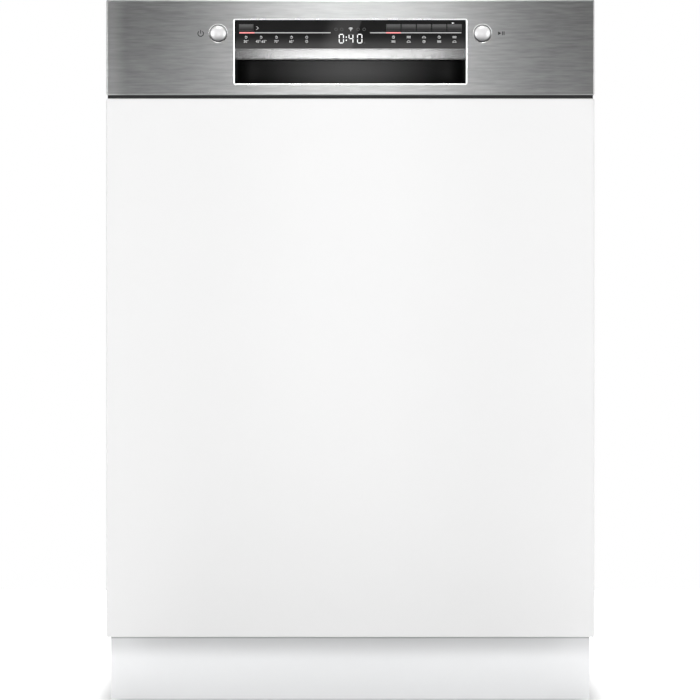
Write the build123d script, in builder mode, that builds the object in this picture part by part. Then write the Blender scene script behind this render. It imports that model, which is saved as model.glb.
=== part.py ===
from build123d import *
import math
import os

os.makedirs("parts", exist_ok=True)

# A built-in dishwasher with a furniture front, in millimetres.
# +X is to the right, the door's front looks along -Y and +Z is up. The origin is on the floor,
# in the middle of the overall width and depth.

# ------------------------------------------------------------------ driving dimensions

# Overall
overall_depth = 573.0
overall_height = 867.0
front_width = 598.0  # furniture panel and fascia
body_width = 596.0  # cabinet behind the door
front_y = -overall_depth / 2
back_y = overall_depth / 2

# Clearances
running_gap = 0.3  # between faces that slide or roll past each other
pin_gap = 0.1  # radial, round a pin or a post
insert_gap = 0.3  # round a piece that is dropped into its hole
weld_gap = 0.1  # between crossing wires of a basket
rail_gap = 0.5

# Door, from the top down
fascia_top_gap = 1.5
fascia_height = 116.4
fascia_gap = 4.3
kickspace_height = 84.8  # floor to the furniture panel's lower edge
panel_thickness = 19.0
panel_edge_r = 1.0
door_depth = 76.5  # front face to the inner liner's face
fascia_top = overall_height - fascia_top_gap
fascia_bottom = fascia_top - fascia_height
panel_top = fascia_bottom - fascia_gap
panel_bottom = kickspace_height
panel_back_y = front_y + panel_thickness
liner_y = front_y + door_depth
half_front = front_width / 2

# Door hinge
hinge_setback = 31.5  # pin behind the door's front
hinge_rise = 15.2  # pin above the furniture panel's lower edge
hinge_y = front_y + hinge_setback
hinge_z = panel_bottom + hinge_rise
hinge_pin_r = 4.0
hinge_plate = 3.0
bracket_plate = 4.0
hinge_eye_r = 9.0

# Sheet metal and plastic walls
sheet = 0.8
side_sheet = 1.0
plastic_wall = 2.5
half_body = body_width / 2

# Tub: its floor is level with the open door's liner
tub_side_gap = 26.0  # to the cabinet's side, each side
tub_back_gap = 26.5  # to the back of the part
tub_back_y = back_y - tub_back_gap
tub_ceiling_gap = 17.0
tub_corner_r = 14.0
tub_mouth_gap = 10.0  # filled by the seal when the door is shut
tub_front_y = liner_y + tub_mouth_gap
tub_floor_z = hinge_z + (liner_y - hinge_y) + running_gap
tub_ceiling_z = overall_height - tub_ceiling_gap
half_tub = half_body - tub_side_gap
tub_flange = 11.0
seal_width = 8.0
seal_inset = 2.0

# Cabinet
worktop_bracket_thickness = 2.0
top_sheet_z = overall_height - worktop_bracket_thickness
rear_space = 11.0  # behind the tub
body_back_y = tub_back_y + rear_space
base_bottom_z = 58.0
base_wall = 3.0
base_top_gap = 1.0
base_top_z = tub_floor_z - sheet - base_top_gap
base_back_y = body_back_y - side_sheet
base_floor_z = base_bottom_z + base_wall
half_base = half_body - side_sheet

# Plinth
plinth_setback = 65.0
plinth_thickness = 16.0
plinth_bottom_z = 2.0
plinth_overlap = 2.2  # behind the furniture panel's lower edge
plinth_top_z = panel_bottom + plinth_overlap
plinth_y = front_y + plinth_setback

# Feet
foot_pad_r = 20.0
foot_pad_height = 6.0
foot_stem_r = 8.0
foot_boss_height = 30.0
foot_stem_top_z = base_bottom_z + foot_boss_height
foot_boss_r = 13.0
front_foot_inset = 52.0
front_foot_setback = 20.0
rear_foot_inset = 41.0
front_foot_x = half_base - front_foot_inset
front_foot_y = tub_front_y + front_foot_setback
rear_foot_y = body_back_y - rear_foot_inset

# Control fascia
fascia_sheet = 1.0
fascia_return = 22.0
fascia_edge_r = 1.2
window_half = 141.7
window_drop = 24.5  # under the fascia's top
window_height = 79.0
window_top_z = fascia_top - window_drop
window_bottom_z = window_top_z - window_height
window_corner_r = 2.0
lens_recess = 3.0
lens_thickness = 3.0
lens_height = 34.3
trim_top_z = window_top_z - lens_height
trim_height = 14.7
trim_recess = 1.0
trim_depth = 17.5
trim_bottom_z = trim_top_z - trim_height
trim_back_y = front_y + trim_recess + trim_depth
pocket_depth = 47.0
pocket_back_y = front_y + pocket_depth
pocket_wall = 1.2
pocket_rise = 10.0  # finger room behind the trim
insert_half = window_half - insert_gap
button_x = 162.0
button_drop = 16.3  # middle under the window's top
button_z = window_top_z - button_drop
button_r = 10.4
button_bezel_r = 11.6
button_length = 14.0
button_inset = 0.2
key_width = 17.4
key_height = 8.2
key_pitch = 18.7
key_edge_x = 127.7
key_drop = 9.1  # middle under the window's top
key_z = window_top_z - key_drop
key_length = 6.0
option_keys = 5
board_setback = 18.5
board_y = front_y + board_setback
board_thickness = 1.6
half_board = 186.0
lip_setback = 6.0
lip_front_y = front_y + lip_setback

# Detergent dispenser
dispenser_half = 88.0
dispenser_rise = 266.0  # above the hinge
dispenser_height = 118.0
dispenser_bottom_z = hinge_z + dispenser_rise
dispenser_top_z = dispenser_bottom_z + dispenser_height
dispenser_corner_r = 8.0
dispenser_plate = 4.0
dispenser_depth = 34.0
dispenser_rim = 5.0
lid_left_x = -76.0
lid_right_x = 14.0
lid_margin = 8.0
lid_corner_r = 6.0
lid_edge_r = 1.5
lid_bottom_z = dispenser_bottom_z + lid_margin
lid_height = 50.0
lid_thickness = 4.0
cup_rim = 6.0
cup_depth = 26.0
cap_x = 52.0
cap_rise = 34.0
cap_rim = 6.0
cap_z = dispenser_bottom_z + cap_rise
cap_r = 24.0
cap_thickness = 5.0

# Wash system
wash_x = 0.0
wash_y = 30.0
sump_hole_r = 104.0
sump_seat = 10.0
sump_r = 97.0
sump_wall = 3.0
sump_depth = 19.0
post_r = 12.0
filter_dx = 45.0
filter_dy = -40.0
filter_r = 40.0
filter_wall = 1.6
filter_lift = 11.0  # off the base's floor
filter_bottom_z = base_floor_z + filter_lift
filter_plate_thickness = 2.0
arm_thickness = 10.0
arm_width = 42.0
arm_hub_r = 21.0
arm_hub_height = 16.0
arm_hub_floor = 4.0
arm_edge_r = 3.0
lower_hub_skirt = 2.0  # hub below the lower blade
lower_arm_lift = 12.0
lower_arm_z = tub_floor_z + lower_arm_lift
lower_arm_length = 410.0
upper_arm_drop = 40.0  # under the upper basket's floor
upper_arm_length = 410.0
top_arm_drop = 38.0  # under the ceiling
top_arm_z = tub_ceiling_z - top_arm_drop
top_arm_length = 220.0
pipe_r = 8.0
riser_y = tub_back_y - running_gap - pipe_r
ceiling_pipe_z = tub_ceiling_z - running_gap - pipe_r
feed_pipe_r = 9.0
feed_drop = 14.0

# Baskets
wire_r = 2.0
rim_wire_r = 3.0
basket_front_gap = 28.0  # to the tub's mouth
basket_back_gap = 26.0  # to the tub's back
basket_front_y = tub_front_y + basket_front_gap
basket_back_y = tub_back_y - basket_back_gap
cross_pitch = 38.0
side_wire_inset = 24.0
end_wire_inset = 14.0
handle_half = 70.0
handle_thickness = 8.0
handle_below = 12.0  # under the rim
handle_above = 8.0
lower_basket_lift = 44.7
lower_basket_height = 179.0
lower_side_gap = 10.0
lower_floor_z = tub_floor_z + lower_basket_lift
lower_rim_z = lower_floor_z + lower_basket_height
lower_half = half_tub - lower_side_gap
lower_long_pitch = 40.0
upper_basket_drop = 370.0  # floor under the tub's ceiling
upper_basket_height = 123.0
upper_side_gap = 20.0
upper_floor_z = tub_ceiling_z - upper_basket_drop
upper_rim_z = upper_floor_z + upper_basket_height
upper_half = half_tub - upper_side_gap
upper_arm_z = upper_floor_z - upper_arm_drop
feed_z = upper_floor_z - feed_drop
upper_long_pitch = 38.0
lower_tine_height = 80.0
upper_tine_height = 52.0
wheel_r = 18.0
wheel_width = 12.0
wheel_inset = 10.0
wheel_x = lower_half - wheel_inset
axle_r = 4.0
front_axle_inset = 107.0
rear_axle_inset = 69.0
front_axle_y = basket_front_y + front_axle_inset
rear_axle_y = basket_back_y - rear_axle_inset
axle_z = tub_floor_z + running_gap + wheel_r

# Upper basket runners
rail_lift = 50.0  # middle above the upper basket's floor
rail_z = upper_floor_z + rail_lift
rail_height = 32.0
rail_wall = 1.5
rail_inset = 10.0  # behind the tub's mouth
rail_front_y = tub_front_y + rail_inset
rail_end_gap = 4.0
rail_back_y = basket_back_y - rail_end_gap
rail_depth = 8.0
slide_bar_setback = 20.0


def facing_front(y):
    """Sketch plane at depth y: local x is +X, local y is +Z, and an extrusion grows towards the front."""
    return Plane.XZ.offset(-y)


def rect(low, high, radius=0.0, mode=Mode.ADD):
    """A rectangle between two opposite corners of the sketch, with round corners if asked."""
    with Locations(((low[0] + high[0]) / 2, (low[1] + high[1]) / 2)):
        if radius:
            RectangleRounded(high[0] - low[0], high[1] - low[1], radius, mode=mode)
        else:
            Rectangle(high[0] - low[0], high[1] - low[1], mode=mode)


def block(low, high, mode=Mode.ADD):
    """A box between two opposite corners."""
    middle = tuple((a + b) / 2 for a, b in zip(low, high))
    with Locations(middle):
        Box(*(b - a for a, b in zip(low, high)), mode=mode)


def upright(x, y, low_z, high_z, radius, mode=Mode.ADD):
    """A round post or bore along Z."""
    with Locations((x, y, (low_z + high_z) / 2)):
        Cylinder(radius, high_z - low_z, mode=mode)


def lengthwise(x, z, low_y, high_y, radius, mode=Mode.ADD):
    """A round bar or bore along Y."""
    with Locations(Location((x, (low_y + high_y) / 2, z), (90, 0, 0))):
        Cylinder(radius, high_y - low_y, mode=mode)


def crosswise(y, z, low_x, high_x, radius, mode=Mode.ADD):
    """A round bar or bore along X."""
    with Locations(Location(((low_x + high_x) / 2, y, z), (0, 90, 0))):
        Cylinder(radius, high_x - low_x, mode=mode)


def steps(low, high, pitch):
    """Even places from low to high, as near the pitch as a whole number of spaces allows."""
    count = max(1, round((high - low) / pitch))
    return [low + (high - low) * i / count for i in range(count + 1)]


# ------------------------------------------------------------------ door

with BuildPart() as furniture_panel:
    block((-half_front, front_y, panel_bottom), (half_front, panel_back_y, panel_top))
    fillet(furniture_panel.edges().group_by(Axis.Y)[0], panel_edge_r)
furniture_panel.part.label = "furniture_panel"
export_step(furniture_panel.part, "parts/furniture_panel.step")

# The steel door is a box of two pans: the outer one carries the furniture panel.
door_side_gap = 11.0  # steel box inside the cabinet's width
liner_pan_depth = 40.0
pan_rise = 18.0
door_half = half_body - door_side_gap
pan_split_y = liner_y - liner_pan_depth
pan_bottom_z = hinge_z + pan_rise
with BuildPart() as outer_door_panel:
    block((-door_half, panel_back_y, pan_bottom_z), (door_half, pan_split_y, panel_top))
    block(
        (-door_half + sheet, panel_back_y + sheet, pan_bottom_z + sheet),
        (door_half - sheet, pan_split_y, panel_top - sheet),
        mode=Mode.SUBTRACT,
    )
outer_door_panel.part.label = "outer_door_panel"
export_step(outer_door_panel.part, "parts/outer_door_panel.step")

liner_top_drop = 0.5
skirt_turn = 16.0
skirt_inset = 17.0
liner_top_z = tub_ceiling_z + tub_flange - liner_top_drop
skirt_half = door_half - skirt_inset
skirt_r = liner_y - hinge_y
with BuildPart() as inner_door_panel:
    block((-door_half, liner_y - sheet, hinge_z), (door_half, liner_y, liner_top_z))
    block((-door_half, pan_split_y, pan_bottom_z), (door_half, liner_y - sheet, panel_top))
    block(
        (-door_half + sheet, pan_split_y, pan_bottom_z + sheet),
        (door_half - sheet, liner_y - sheet, panel_top - sheet),
        mode=Mode.SUBTRACT,
    )
    # The lower edge curls round the hinge line, to close the gap to the tub when the door is down.
    with BuildSketch(Plane.YZ.offset(-skirt_half)):
        with BuildLine():
            CenterArc((hinge_y, hinge_z), skirt_r, 0, -skirt_turn)
            CenterArc((hinge_y, hinge_z), skirt_r - sheet, 0, -skirt_turn)
            for turn in (0, -skirt_turn):
                outward = Vector(math.cos(math.radians(turn)), math.sin(math.radians(turn)))
                Line(
                    Vector(hinge_y, hinge_z) + outward * skirt_r,
                    Vector(hinge_y, hinge_z) + outward * (skirt_r - sheet),
                )
        make_face()
    extrude(amount=2 * skirt_half)
    with BuildSketch(facing_front(liner_y)):
        rect(
            (-dispenser_half + dispenser_rim, dispenser_bottom_z + dispenser_rim),
            (dispenser_half - dispenser_rim, dispenser_top_z - dispenser_rim),
        )
    extrude(amount=sheet, mode=Mode.SUBTRACT)
inner_door_panel.part.label = "inner_door_panel"
export_step(inner_door_panel.part, "parts/inner_door_panel.step")

# Brushed steel fascia: a shallow pan with a window for the display and the grip pocket.
with BuildPart() as control_fascia:
    block((-half_front, front_y, fascia_bottom), (half_front, front_y + fascia_return, fascia_top))
    fillet(control_fascia.edges().group_by(Axis.Y)[0], fascia_edge_r)
    block(
        (-half_front + fascia_sheet, front_y + fascia_sheet, fascia_bottom + fascia_sheet),
        (half_front - fascia_sheet, front_y + fascia_return, fascia_top - fascia_sheet),
        mode=Mode.SUBTRACT,
    )
    with BuildSketch(facing_front(front_y + fascia_sheet)):
        rect((-window_half, window_bottom_z), (window_half, window_top_z), window_corner_r)
        with Locations((-button_x, button_z), (button_x, button_z)):
            Circle(button_bezel_r)
    extrude(amount=fascia_sheet, mode=Mode.SUBTRACT)
control_fascia.part.label = "control_fascia"
export_step(control_fascia.part, "parts/control_fascia.step")

# Plastic carrier behind the fascia. It holds the lens, the keys, the round buttons and the board.
carrier_half = half_front - fascia_sheet - insert_gap
carrier_front_y = front_y + fascia_sheet
carrier_back_y = liner_y - sheet
carrier_low_z = fascia_bottom + fascia_sheet
carrier_high_z = fascia_top - fascia_sheet
carrier_plate = 3.0
lens_wall = 4.0
lens_seat = 2.0
sleeve_wall = 1.4
sleeve_length = 9.0
lens_back_y = front_y + lens_recess + lens_thickness
latch_slot_half = 14.0
latch_slot_depth = 22.0
latch_slot_y = liner_y - latch_slot_depth
board_overhang = 16.0  # above the window
board_drop = 2.0
board_post_r = 3.0
board_post_inset = 6.0
board_post_rise = 8.0
middle_post_x = 120.0
middle_post_rise = 10.0
with BuildPart() as fascia_carrier:
    block(
        (-carrier_half, carrier_front_y, carrier_low_z),
        (carrier_half, carrier_back_y, carrier_high_z),
    )
    block(
        (-carrier_half, front_y + fascia_return, panel_top),
        (carrier_half, carrier_back_y, carrier_low_z),
    )
    block(
        (-carrier_half, lip_front_y, panel_top + insert_gap),
        (carrier_half, front_y + fascia_return, fascia_bottom),
    )
    block(
        (
            -carrier_half + plastic_wall,
            carrier_front_y + carrier_plate,
            carrier_low_z + plastic_wall,
        ),
        (carrier_half - plastic_wall, carrier_back_y, carrier_high_z - plastic_wall),
        mode=Mode.SUBTRACT,
    )
    # Window for the grip pocket below and the lens above, with a backing plate behind the lens.
    block(
        (-window_half, carrier_front_y, window_bottom_z),
        (window_half, carrier_front_y + carrier_plate, window_top_z),
        mode=Mode.SUBTRACT,
    )
    block(
        (-window_half - lens_wall, carrier_front_y, trim_top_z),
        (window_half + lens_wall, lens_back_y + lens_seat, window_top_z + lens_wall),
    )
    block(
        (-window_half, carrier_front_y, trim_top_z),
        (window_half, lens_back_y, window_top_z),
        mode=Mode.SUBTRACT,
    )
    for side in (-1, 1):
        lengthwise(
            side * button_x,
            button_z,
            carrier_front_y,
            carrier_front_y + sleeve_length,
            button_bezel_r + sleeve_wall,
        )
        lengthwise(
            side * button_x,
            button_z,
            carrier_front_y,
            carrier_front_y + sleeve_length,
            button_r + insert_gap,
            mode=Mode.SUBTRACT,
        )
        for post_x, post_z in (
            (side * (half_board - board_post_inset), trim_top_z + board_post_rise),
            (side * middle_post_x, window_top_z + middle_post_rise),
        ):
            lengthwise(post_x, post_z, carrier_front_y + carrier_plate, board_y, board_post_r)
    for i in range(option_keys + 1):
        x = -key_edge_x if i == option_keys else key_edge_x - i * key_pitch
        block(
            (x - key_width / 2 - insert_gap, lens_back_y, key_z - key_height / 2 - insert_gap),
            (
                x + key_width / 2 + insert_gap,
                lens_back_y + lens_seat,
                key_z + key_height / 2 + insert_gap,
            ),
            mode=Mode.SUBTRACT,
        )
    block(
        (-latch_slot_half, latch_slot_y, carrier_high_z - plastic_wall),
        (latch_slot_half, carrier_back_y, carrier_high_z),
        mode=Mode.SUBTRACT,
    )
fascia_carrier.part.label = "fascia_carrier"
export_step(fascia_carrier.part, "parts/fascia_carrier.step")

with BuildPart() as display_lens:
    block(
        (-insert_half, front_y + lens_recess, trim_top_z),
        (insert_half, lens_back_y, window_top_z - insert_gap),
    )
    for i in range(option_keys + 1):
        x = -key_edge_x if i == option_keys else key_edge_x - i * key_pitch
        block(
            (
                x - key_width / 2 - insert_gap,
                front_y + lens_recess,
                key_z - key_height / 2 - insert_gap,
            ),
            (x + key_width / 2 + insert_gap, lens_back_y, key_z + key_height / 2 + insert_gap),
            mode=Mode.SUBTRACT,
        )
display_lens.part.label = "display_lens"
export_step(display_lens.part, "parts/display_lens.step")

# Keys slide in the lens. Their fronts stand a little proud of it.
key_proud = 0.8
key_edge_r = 0.6
button_edge_r = 0.8
trim_edge_r = 4.0
key_names = ["program_key"] + [f"option_key_{i}" for i in range(1, option_keys + 1)]
key_places = [-key_edge_x] + [key_edge_x - i * key_pitch for i in reversed(range(option_keys))]
for node, x in zip(key_names, key_places):
    with BuildPart() as key:
        key_front_y = front_y + lens_recess - key_proud
        block(
            (x - key_width / 2, key_front_y, key_z - key_height / 2),
            (x + key_width / 2, key_front_y + key_length, key_z + key_height / 2),
        )
        fillet(key.edges().group_by(Axis.Y)[0], key_edge_r)
    key.part.label = node
    export_step(key.part, f"parts/{node}.step")

for node, side in (("power_button", -1), ("start_button", 1)):
    with BuildPart() as button:
        cap_y = front_y + button_inset
        lengthwise(side * button_x, button_z, cap_y, cap_y + button_length, button_r)
        fillet(button.edges().group_by(Axis.Y)[0], button_edge_r)
    button.part.label = node
    export_step(button.part, f"parts/{node}.step")

with BuildPart() as handle_trim:
    with BuildSketch(Plane.YZ.offset(-insert_half)):
        rect((front_y + trim_recess, trim_bottom_z), (trim_back_y, trim_top_z))
    extrude(amount=2 * insert_half)
    fillet(handle_trim.edges().group_by(Axis.Y)[0].filter_by(Axis.X), trim_edge_r)
handle_trim.part.label = "handle_trim"
export_step(handle_trim.part, "parts/handle_trim.step")

# Grip pocket: open to the front below the trim, and rising behind it.
with BuildPart() as handle_pocket:
    block(
        (-insert_half, carrier_front_y, window_bottom_z + insert_gap),
        (insert_half, pocket_back_y, trim_bottom_z + pocket_rise + pocket_wall),
    )
    block(
        (-insert_half + pocket_wall, carrier_front_y, window_bottom_z + insert_gap + pocket_wall),
        (insert_half - pocket_wall, pocket_back_y - pocket_wall, trim_bottom_z + pocket_rise),
        mode=Mode.SUBTRACT,
    )
    block(
        (-insert_half, carrier_front_y, trim_bottom_z),
        (insert_half, trim_back_y, trim_bottom_z + pocket_rise + pocket_wall),
        mode=Mode.SUBTRACT,
    )
handle_pocket.part.label = "handle_pocket"
export_step(handle_pocket.part, "parts/handle_pocket.step")

with BuildPart() as control_board:
    block(
        (-half_board, board_y, trim_top_z + board_drop),
        (half_board, board_y + board_thickness, window_top_z + board_overhang),
    )
control_board.part.label = "control_board"
export_step(control_board.part, "parts/control_board.step")

# Catch in the door's top edge, and the striker on the tub's flange that it takes hold of.
striker_half = 11.0
striker_thickness = 2.0
striker_z = tub_ceiling_z + tub_flange + running_gap
striker_reach = 16.0  # into the door's top
striker_foot_rise = 2.0
striker_front_y = liner_y - striker_reach
catch_half = 26.0
catch_drop = 2.8
catch_body_height = 20.0
catch_body_front = 8.0
catch_side_gap = 1.0
with BuildPart() as door_latch:
    block(
        (-catch_half, latch_slot_y - catch_body_front, striker_z - catch_drop - catch_body_height),
        (catch_half, carrier_back_y, striker_z - catch_drop),
    )
    for side in (-1, 1):
        inner = side * (striker_half + catch_side_gap)
        outer = side * (latch_slot_half - insert_gap)
        block(
            (min(inner, outer), latch_slot_y + catch_side_gap, striker_z - catch_drop),
            (max(inner, outer), carrier_back_y, carrier_high_z),
        )
door_latch.part.label = "door_latch"
export_step(door_latch.part, "parts/door_latch.step")

with BuildPart() as latch_striker:
    block(
        (-striker_half, striker_front_y, striker_z),
        (striker_half, tub_front_y + sheet, striker_z + striker_thickness),
    )
    block(
        (-striker_half, tub_front_y + sheet, tub_ceiling_z + striker_foot_rise),
        (striker_half, tub_front_y + sheet + striker_thickness, striker_z + striker_thickness),
    )
latch_striker.part.label = "latch_striker"
export_step(latch_striker.part, "parts/latch_striker.step")

# Hinge arms on the door's edges, and brackets with the pins on the cabinet's base.
arm_rise = 230.0
arm_reach = 15.0
arm_top_z = hinge_z + arm_rise
arm_back_y = hinge_y + arm_reach
bracket_gap = 1.0
bracket_height = 20.0
bracket_foot = 26.0
bracket_foot_sheet = 2.0
pin_end_gap = 0.2
with BuildPart() as hinge_arms:
    for side in (-1, 1):
        plate_x = door_half if side > 0 else -door_half - hinge_plate
        with BuildSketch(Plane.YZ.offset(plate_x)):
            rect((hinge_y - hinge_eye_r, hinge_z), (arm_back_y, arm_top_z))
            with Locations((hinge_y, hinge_z)):
                Circle(hinge_eye_r)
                Circle(hinge_pin_r + pin_gap, mode=Mode.SUBTRACT)
        extrude(amount=hinge_plate)
hinge_arms.part.label = "hinge_arms"
export_step(hinge_arms.part, "parts/hinge_arms.step")

with BuildPart() as hinge_brackets:
    for side in (-1, 1):
        inner_x = door_half + hinge_plate + bracket_gap
        plate_x = inner_x if side > 0 else -inner_x - bracket_plate
        with BuildSketch(Plane.YZ.offset(plate_x)):
            rect((hinge_y, hinge_z - hinge_eye_r), (tub_front_y, hinge_z + bracket_height - hinge_eye_r))
            with Locations((hinge_y, hinge_z)):
                Circle(hinge_eye_r)
        extrude(amount=bracket_plate)
        pin_low, pin_high = sorted((side * (door_half + pin_end_gap), side * (inner_x + bracket_plate)))
        crosswise(hinge_y, hinge_z, pin_low, pin_high, hinge_pin_r)
        foot_low, foot_high = sorted((side * (inner_x - bracket_foot), side * (inner_x + bracket_plate)))
        block(
            (foot_low, tub_front_y - bracket_foot_sheet, hinge_z - hinge_eye_r),
            (foot_high, tub_front_y, tub_floor_z - tub_flange - bracket_foot_sheet),
        )
hinge_brackets.part.label = "hinge_brackets"
export_step(hinge_brackets.part, "parts/hinge_brackets.step")

# Detergent dispenser in the liner
dispenser_face_y = liner_y + dispenser_plate
with BuildPart() as dispenser_body:
    with BuildSketch(facing_front(dispenser_face_y)):
        rect(
            (-dispenser_half, dispenser_bottom_z),
            (dispenser_half, dispenser_top_z),
            dispenser_corner_r,
        )
    extrude(amount=dispenser_plate)
    block(
        (
            -dispenser_half + dispenser_rim + insert_gap,
            liner_y - dispenser_depth,
            dispenser_bottom_z + dispenser_rim + insert_gap,
        ),
        (
            dispenser_half - dispenser_rim - insert_gap,
            liner_y,
            dispenser_top_z - dispenser_rim - insert_gap,
        ),
    )
    # The detergent cup, and the well of the rinse aid.
    block(
        (lid_left_x + cup_rim, dispenser_face_y - cup_depth, lid_bottom_z + cup_rim),
        (lid_right_x - cup_rim, dispenser_face_y, lid_bottom_z + lid_height - cup_rim),
        mode=Mode.SUBTRACT,
    )
    lengthwise(
        cap_x,
        cap_z,
        dispenser_face_y - cup_depth,
        dispenser_face_y,
        cap_r - cap_rim,
        mode=Mode.SUBTRACT,
    )
dispenser_body.part.label = "dispenser_body"
export_step(dispenser_body.part, "parts/dispenser_body.step")

lid_y = dispenser_face_y + running_gap
with BuildPart() as dispenser_lid:
    with BuildSketch(facing_front(lid_y + lid_thickness)):
        rect((lid_left_x, lid_bottom_z), (lid_right_x, lid_bottom_z + lid_height), lid_corner_r)
    extrude(amount=lid_thickness)
    fillet(dispenser_lid.edges().group_by(Axis.Y)[-1], lid_edge_r)
dispenser_lid.part.label = "dispenser_lid"
export_step(dispenser_lid.part, "parts/dispenser_lid.step")

with BuildPart() as rinse_aid_cap:
    lengthwise(cap_x, cap_z, lid_y, lid_y + cap_thickness, cap_r)
    fillet(rinse_aid_cap.edges().group_by(Axis.Y)[-1], lid_edge_r)
rinse_aid_cap.part.label = "rinse_aid_cap"
export_step(rinse_aid_cap.part, "parts/rinse_aid_cap.step")

# ------------------------------------------------------------------ cabinet

salt_side_inset = 82.0
salt_back_inset = 55.0
salt_x = -half_tub + salt_side_inset
salt_y = tub_back_y - salt_back_inset
salt_neck_r = 28.0
with BuildPart() as tub:
    outside = half_tub + sheet
    with BuildSketch(facing_front(tub_back_y + sheet)):
        rect((-outside, tub_floor_z - sheet), (outside, tub_ceiling_z + sheet), tub_corner_r + sheet)
    extrude(amount=tub_back_y + sheet - tub_front_y)
    fillet(tub.edges().group_by(Axis.Y)[-1], tub_corner_r)
    with BuildSketch(facing_front(tub_front_y + sheet)):
        rect(
            (-half_body, tub_floor_z - tub_flange),
            (half_body, tub_ceiling_z + tub_flange),
        )
    extrude(amount=sheet)
    with BuildPart(mode=Mode.PRIVATE) as hollow:
        with BuildSketch(facing_front(tub_back_y)):
            rect((-half_tub, tub_floor_z), (half_tub, tub_ceiling_z), tub_corner_r)
        extrude(amount=tub_back_y - tub_front_y)
        fillet(hollow.edges().group_by(Axis.Y)[-1], tub_corner_r - sheet)
    add(hollow.part, mode=Mode.SUBTRACT)
    upright(wash_x, wash_y, tub_floor_z - sheet, tub_floor_z, sump_hole_r, mode=Mode.SUBTRACT)
    upright(salt_x, salt_y, tub_floor_z - sheet, tub_floor_z, salt_neck_r + insert_gap, mode=Mode.SUBTRACT)
tub.part.label = "tub"
export_step(tub.part, "parts/tub.step")

with BuildPart() as tub_seal:
    ring_low = seal_inset
    ring_high = seal_inset + seal_width
    with BuildSketch(facing_front(tub_front_y)):
        rect(
            (-half_tub - ring_high, tub_floor_z - ring_high),
            (half_tub + ring_high, tub_ceiling_z + ring_high),
            tub_corner_r + ring_high,
        )
        rect(
            (-half_tub - ring_low, tub_floor_z - ring_low),
            (half_tub + ring_low, tub_ceiling_z + ring_low),
            tub_corner_r + ring_low,
            mode=Mode.SUBTRACT,
        )
    extrude(amount=tub_front_y - liner_y - running_gap)
tub_seal.part.label = "tub_seal"
export_step(tub_seal.part, "parts/tub_seal.step")

# Services at the back of the base. Each passes the wall with a collar, wider than its spigot.
service_rise = 34.0  # above the base's floor
service_z = base_floor_z + service_rise
inlet_x = -80.0
inlet_r = 13.2
drain_inset = 77.0
drain_x = half_base - drain_inset
drain_r = 9.5
mains_pitch = 70.0
mains_x = drain_x - mains_pitch
mains_r = 9.0
service_collar = 2.0
collar_proud = 0.5
services = ((inlet_x, inlet_r), (drain_x, drain_r), (mains_x, mains_r))
with BuildPart() as base_tray:
    block((-half_base, tub_front_y + sheet, base_bottom_z), (half_base, base_back_y, base_top_z))
    block(
        (-half_base + base_wall, tub_front_y + sheet + base_wall, base_floor_z),
        (half_base - base_wall, base_back_y - base_wall, base_top_z),
        mode=Mode.SUBTRACT,
    )
    feet_places = [(-front_foot_x, front_foot_y), (front_foot_x, front_foot_y), (0.0, rear_foot_y)]
    for x, y in feet_places:
        upright(x, y, base_bottom_z, foot_stem_top_z, foot_boss_r)
        upright(x, y, base_bottom_z, foot_stem_top_z, foot_stem_r + pin_gap, mode=Mode.SUBTRACT)
    for x, radius in services:
        hole_r = radius + service_collar + insert_gap
        lengthwise(x, service_z, base_back_y - base_wall, base_back_y, hole_r, mode=Mode.SUBTRACT)
base_tray.part.label = "base_tray"
export_step(base_tray.part, "parts/base_tray.step")

with BuildPart() as side_panels:
    for side in (-1, 1):
        low_x, high_x = sorted((side * half_base, side * half_body))
        block(
            (low_x, tub_front_y + sheet, base_floor_z),
            (high_x, body_back_y, top_sheet_z - side_sheet),
        )
side_panels.part.label = "side_panels"
export_step(side_panels.part, "parts/side_panels.step")

with BuildPart() as rear_panel:
    block((-half_base, base_back_y, base_floor_z), (half_base, body_back_y, top_sheet_z - side_sheet))
    for x, radius in services:
        hole_r = radius + service_collar + insert_gap
        lengthwise(x, service_z, base_back_y, body_back_y, hole_r, mode=Mode.SUBTRACT)
rear_panel.part.label = "rear_panel"
export_step(rear_panel.part, "parts/rear_panel.step")

with BuildPart() as top_panel:
    block(
        (-half_body, tub_front_y + sheet + striker_thickness, top_sheet_z - side_sheet),
        (half_body, body_back_y, top_sheet_z),
    )
top_panel.part.label = "top_panel"
export_step(top_panel.part, "parts/top_panel.step")

worktop_bracket_x = 200.0
worktop_bracket_length = 60.0
worktop_hole_r = 2.6
worktop_hole_pitch = 20.0
worktop_bracket_setback = 24.0
worktop_bracket_half = 20.0
worktop_bracket_y = tub_front_y + worktop_bracket_setback
with BuildPart() as worktop_brackets:
    for side in (-1, 1):
        x = side * worktop_bracket_x
        block(
            (
                x - worktop_bracket_length / 2,
                worktop_bracket_y - worktop_bracket_half,
                top_sheet_z,
            ),
            (
                x + worktop_bracket_length / 2,
                worktop_bracket_y + worktop_bracket_half,
                overall_height,
            ),
        )
        for y in (-worktop_hole_pitch / 2, worktop_hole_pitch / 2):
            hole_y = worktop_bracket_y + y
            upright(x, hole_y, top_sheet_z, overall_height, worktop_hole_r, mode=Mode.SUBTRACT)
worktop_brackets.part.label = "worktop_brackets"
export_step(worktop_brackets.part, "parts/worktop_brackets.step")

plinth_clip_x = 180.0
plinth_clip_half = 15.0
plinth_clip_drop = 6.0
with BuildPart() as plinth_panel:
    block(
        (-half_body, plinth_y, plinth_bottom_z),
        (half_body, plinth_y + plinth_thickness, plinth_top_z),
    )
    for side in (-1, 1):
        block(
            (side * plinth_clip_x - plinth_clip_half, plinth_y + plinth_thickness, base_floor_z),
            (side * plinth_clip_x + plinth_clip_half, tub_front_y + sheet, plinth_top_z - plinth_clip_drop),
        )
plinth_panel.part.label = "plinth_panel"
export_step(plinth_panel.part, "parts/plinth_panel.step")

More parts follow.
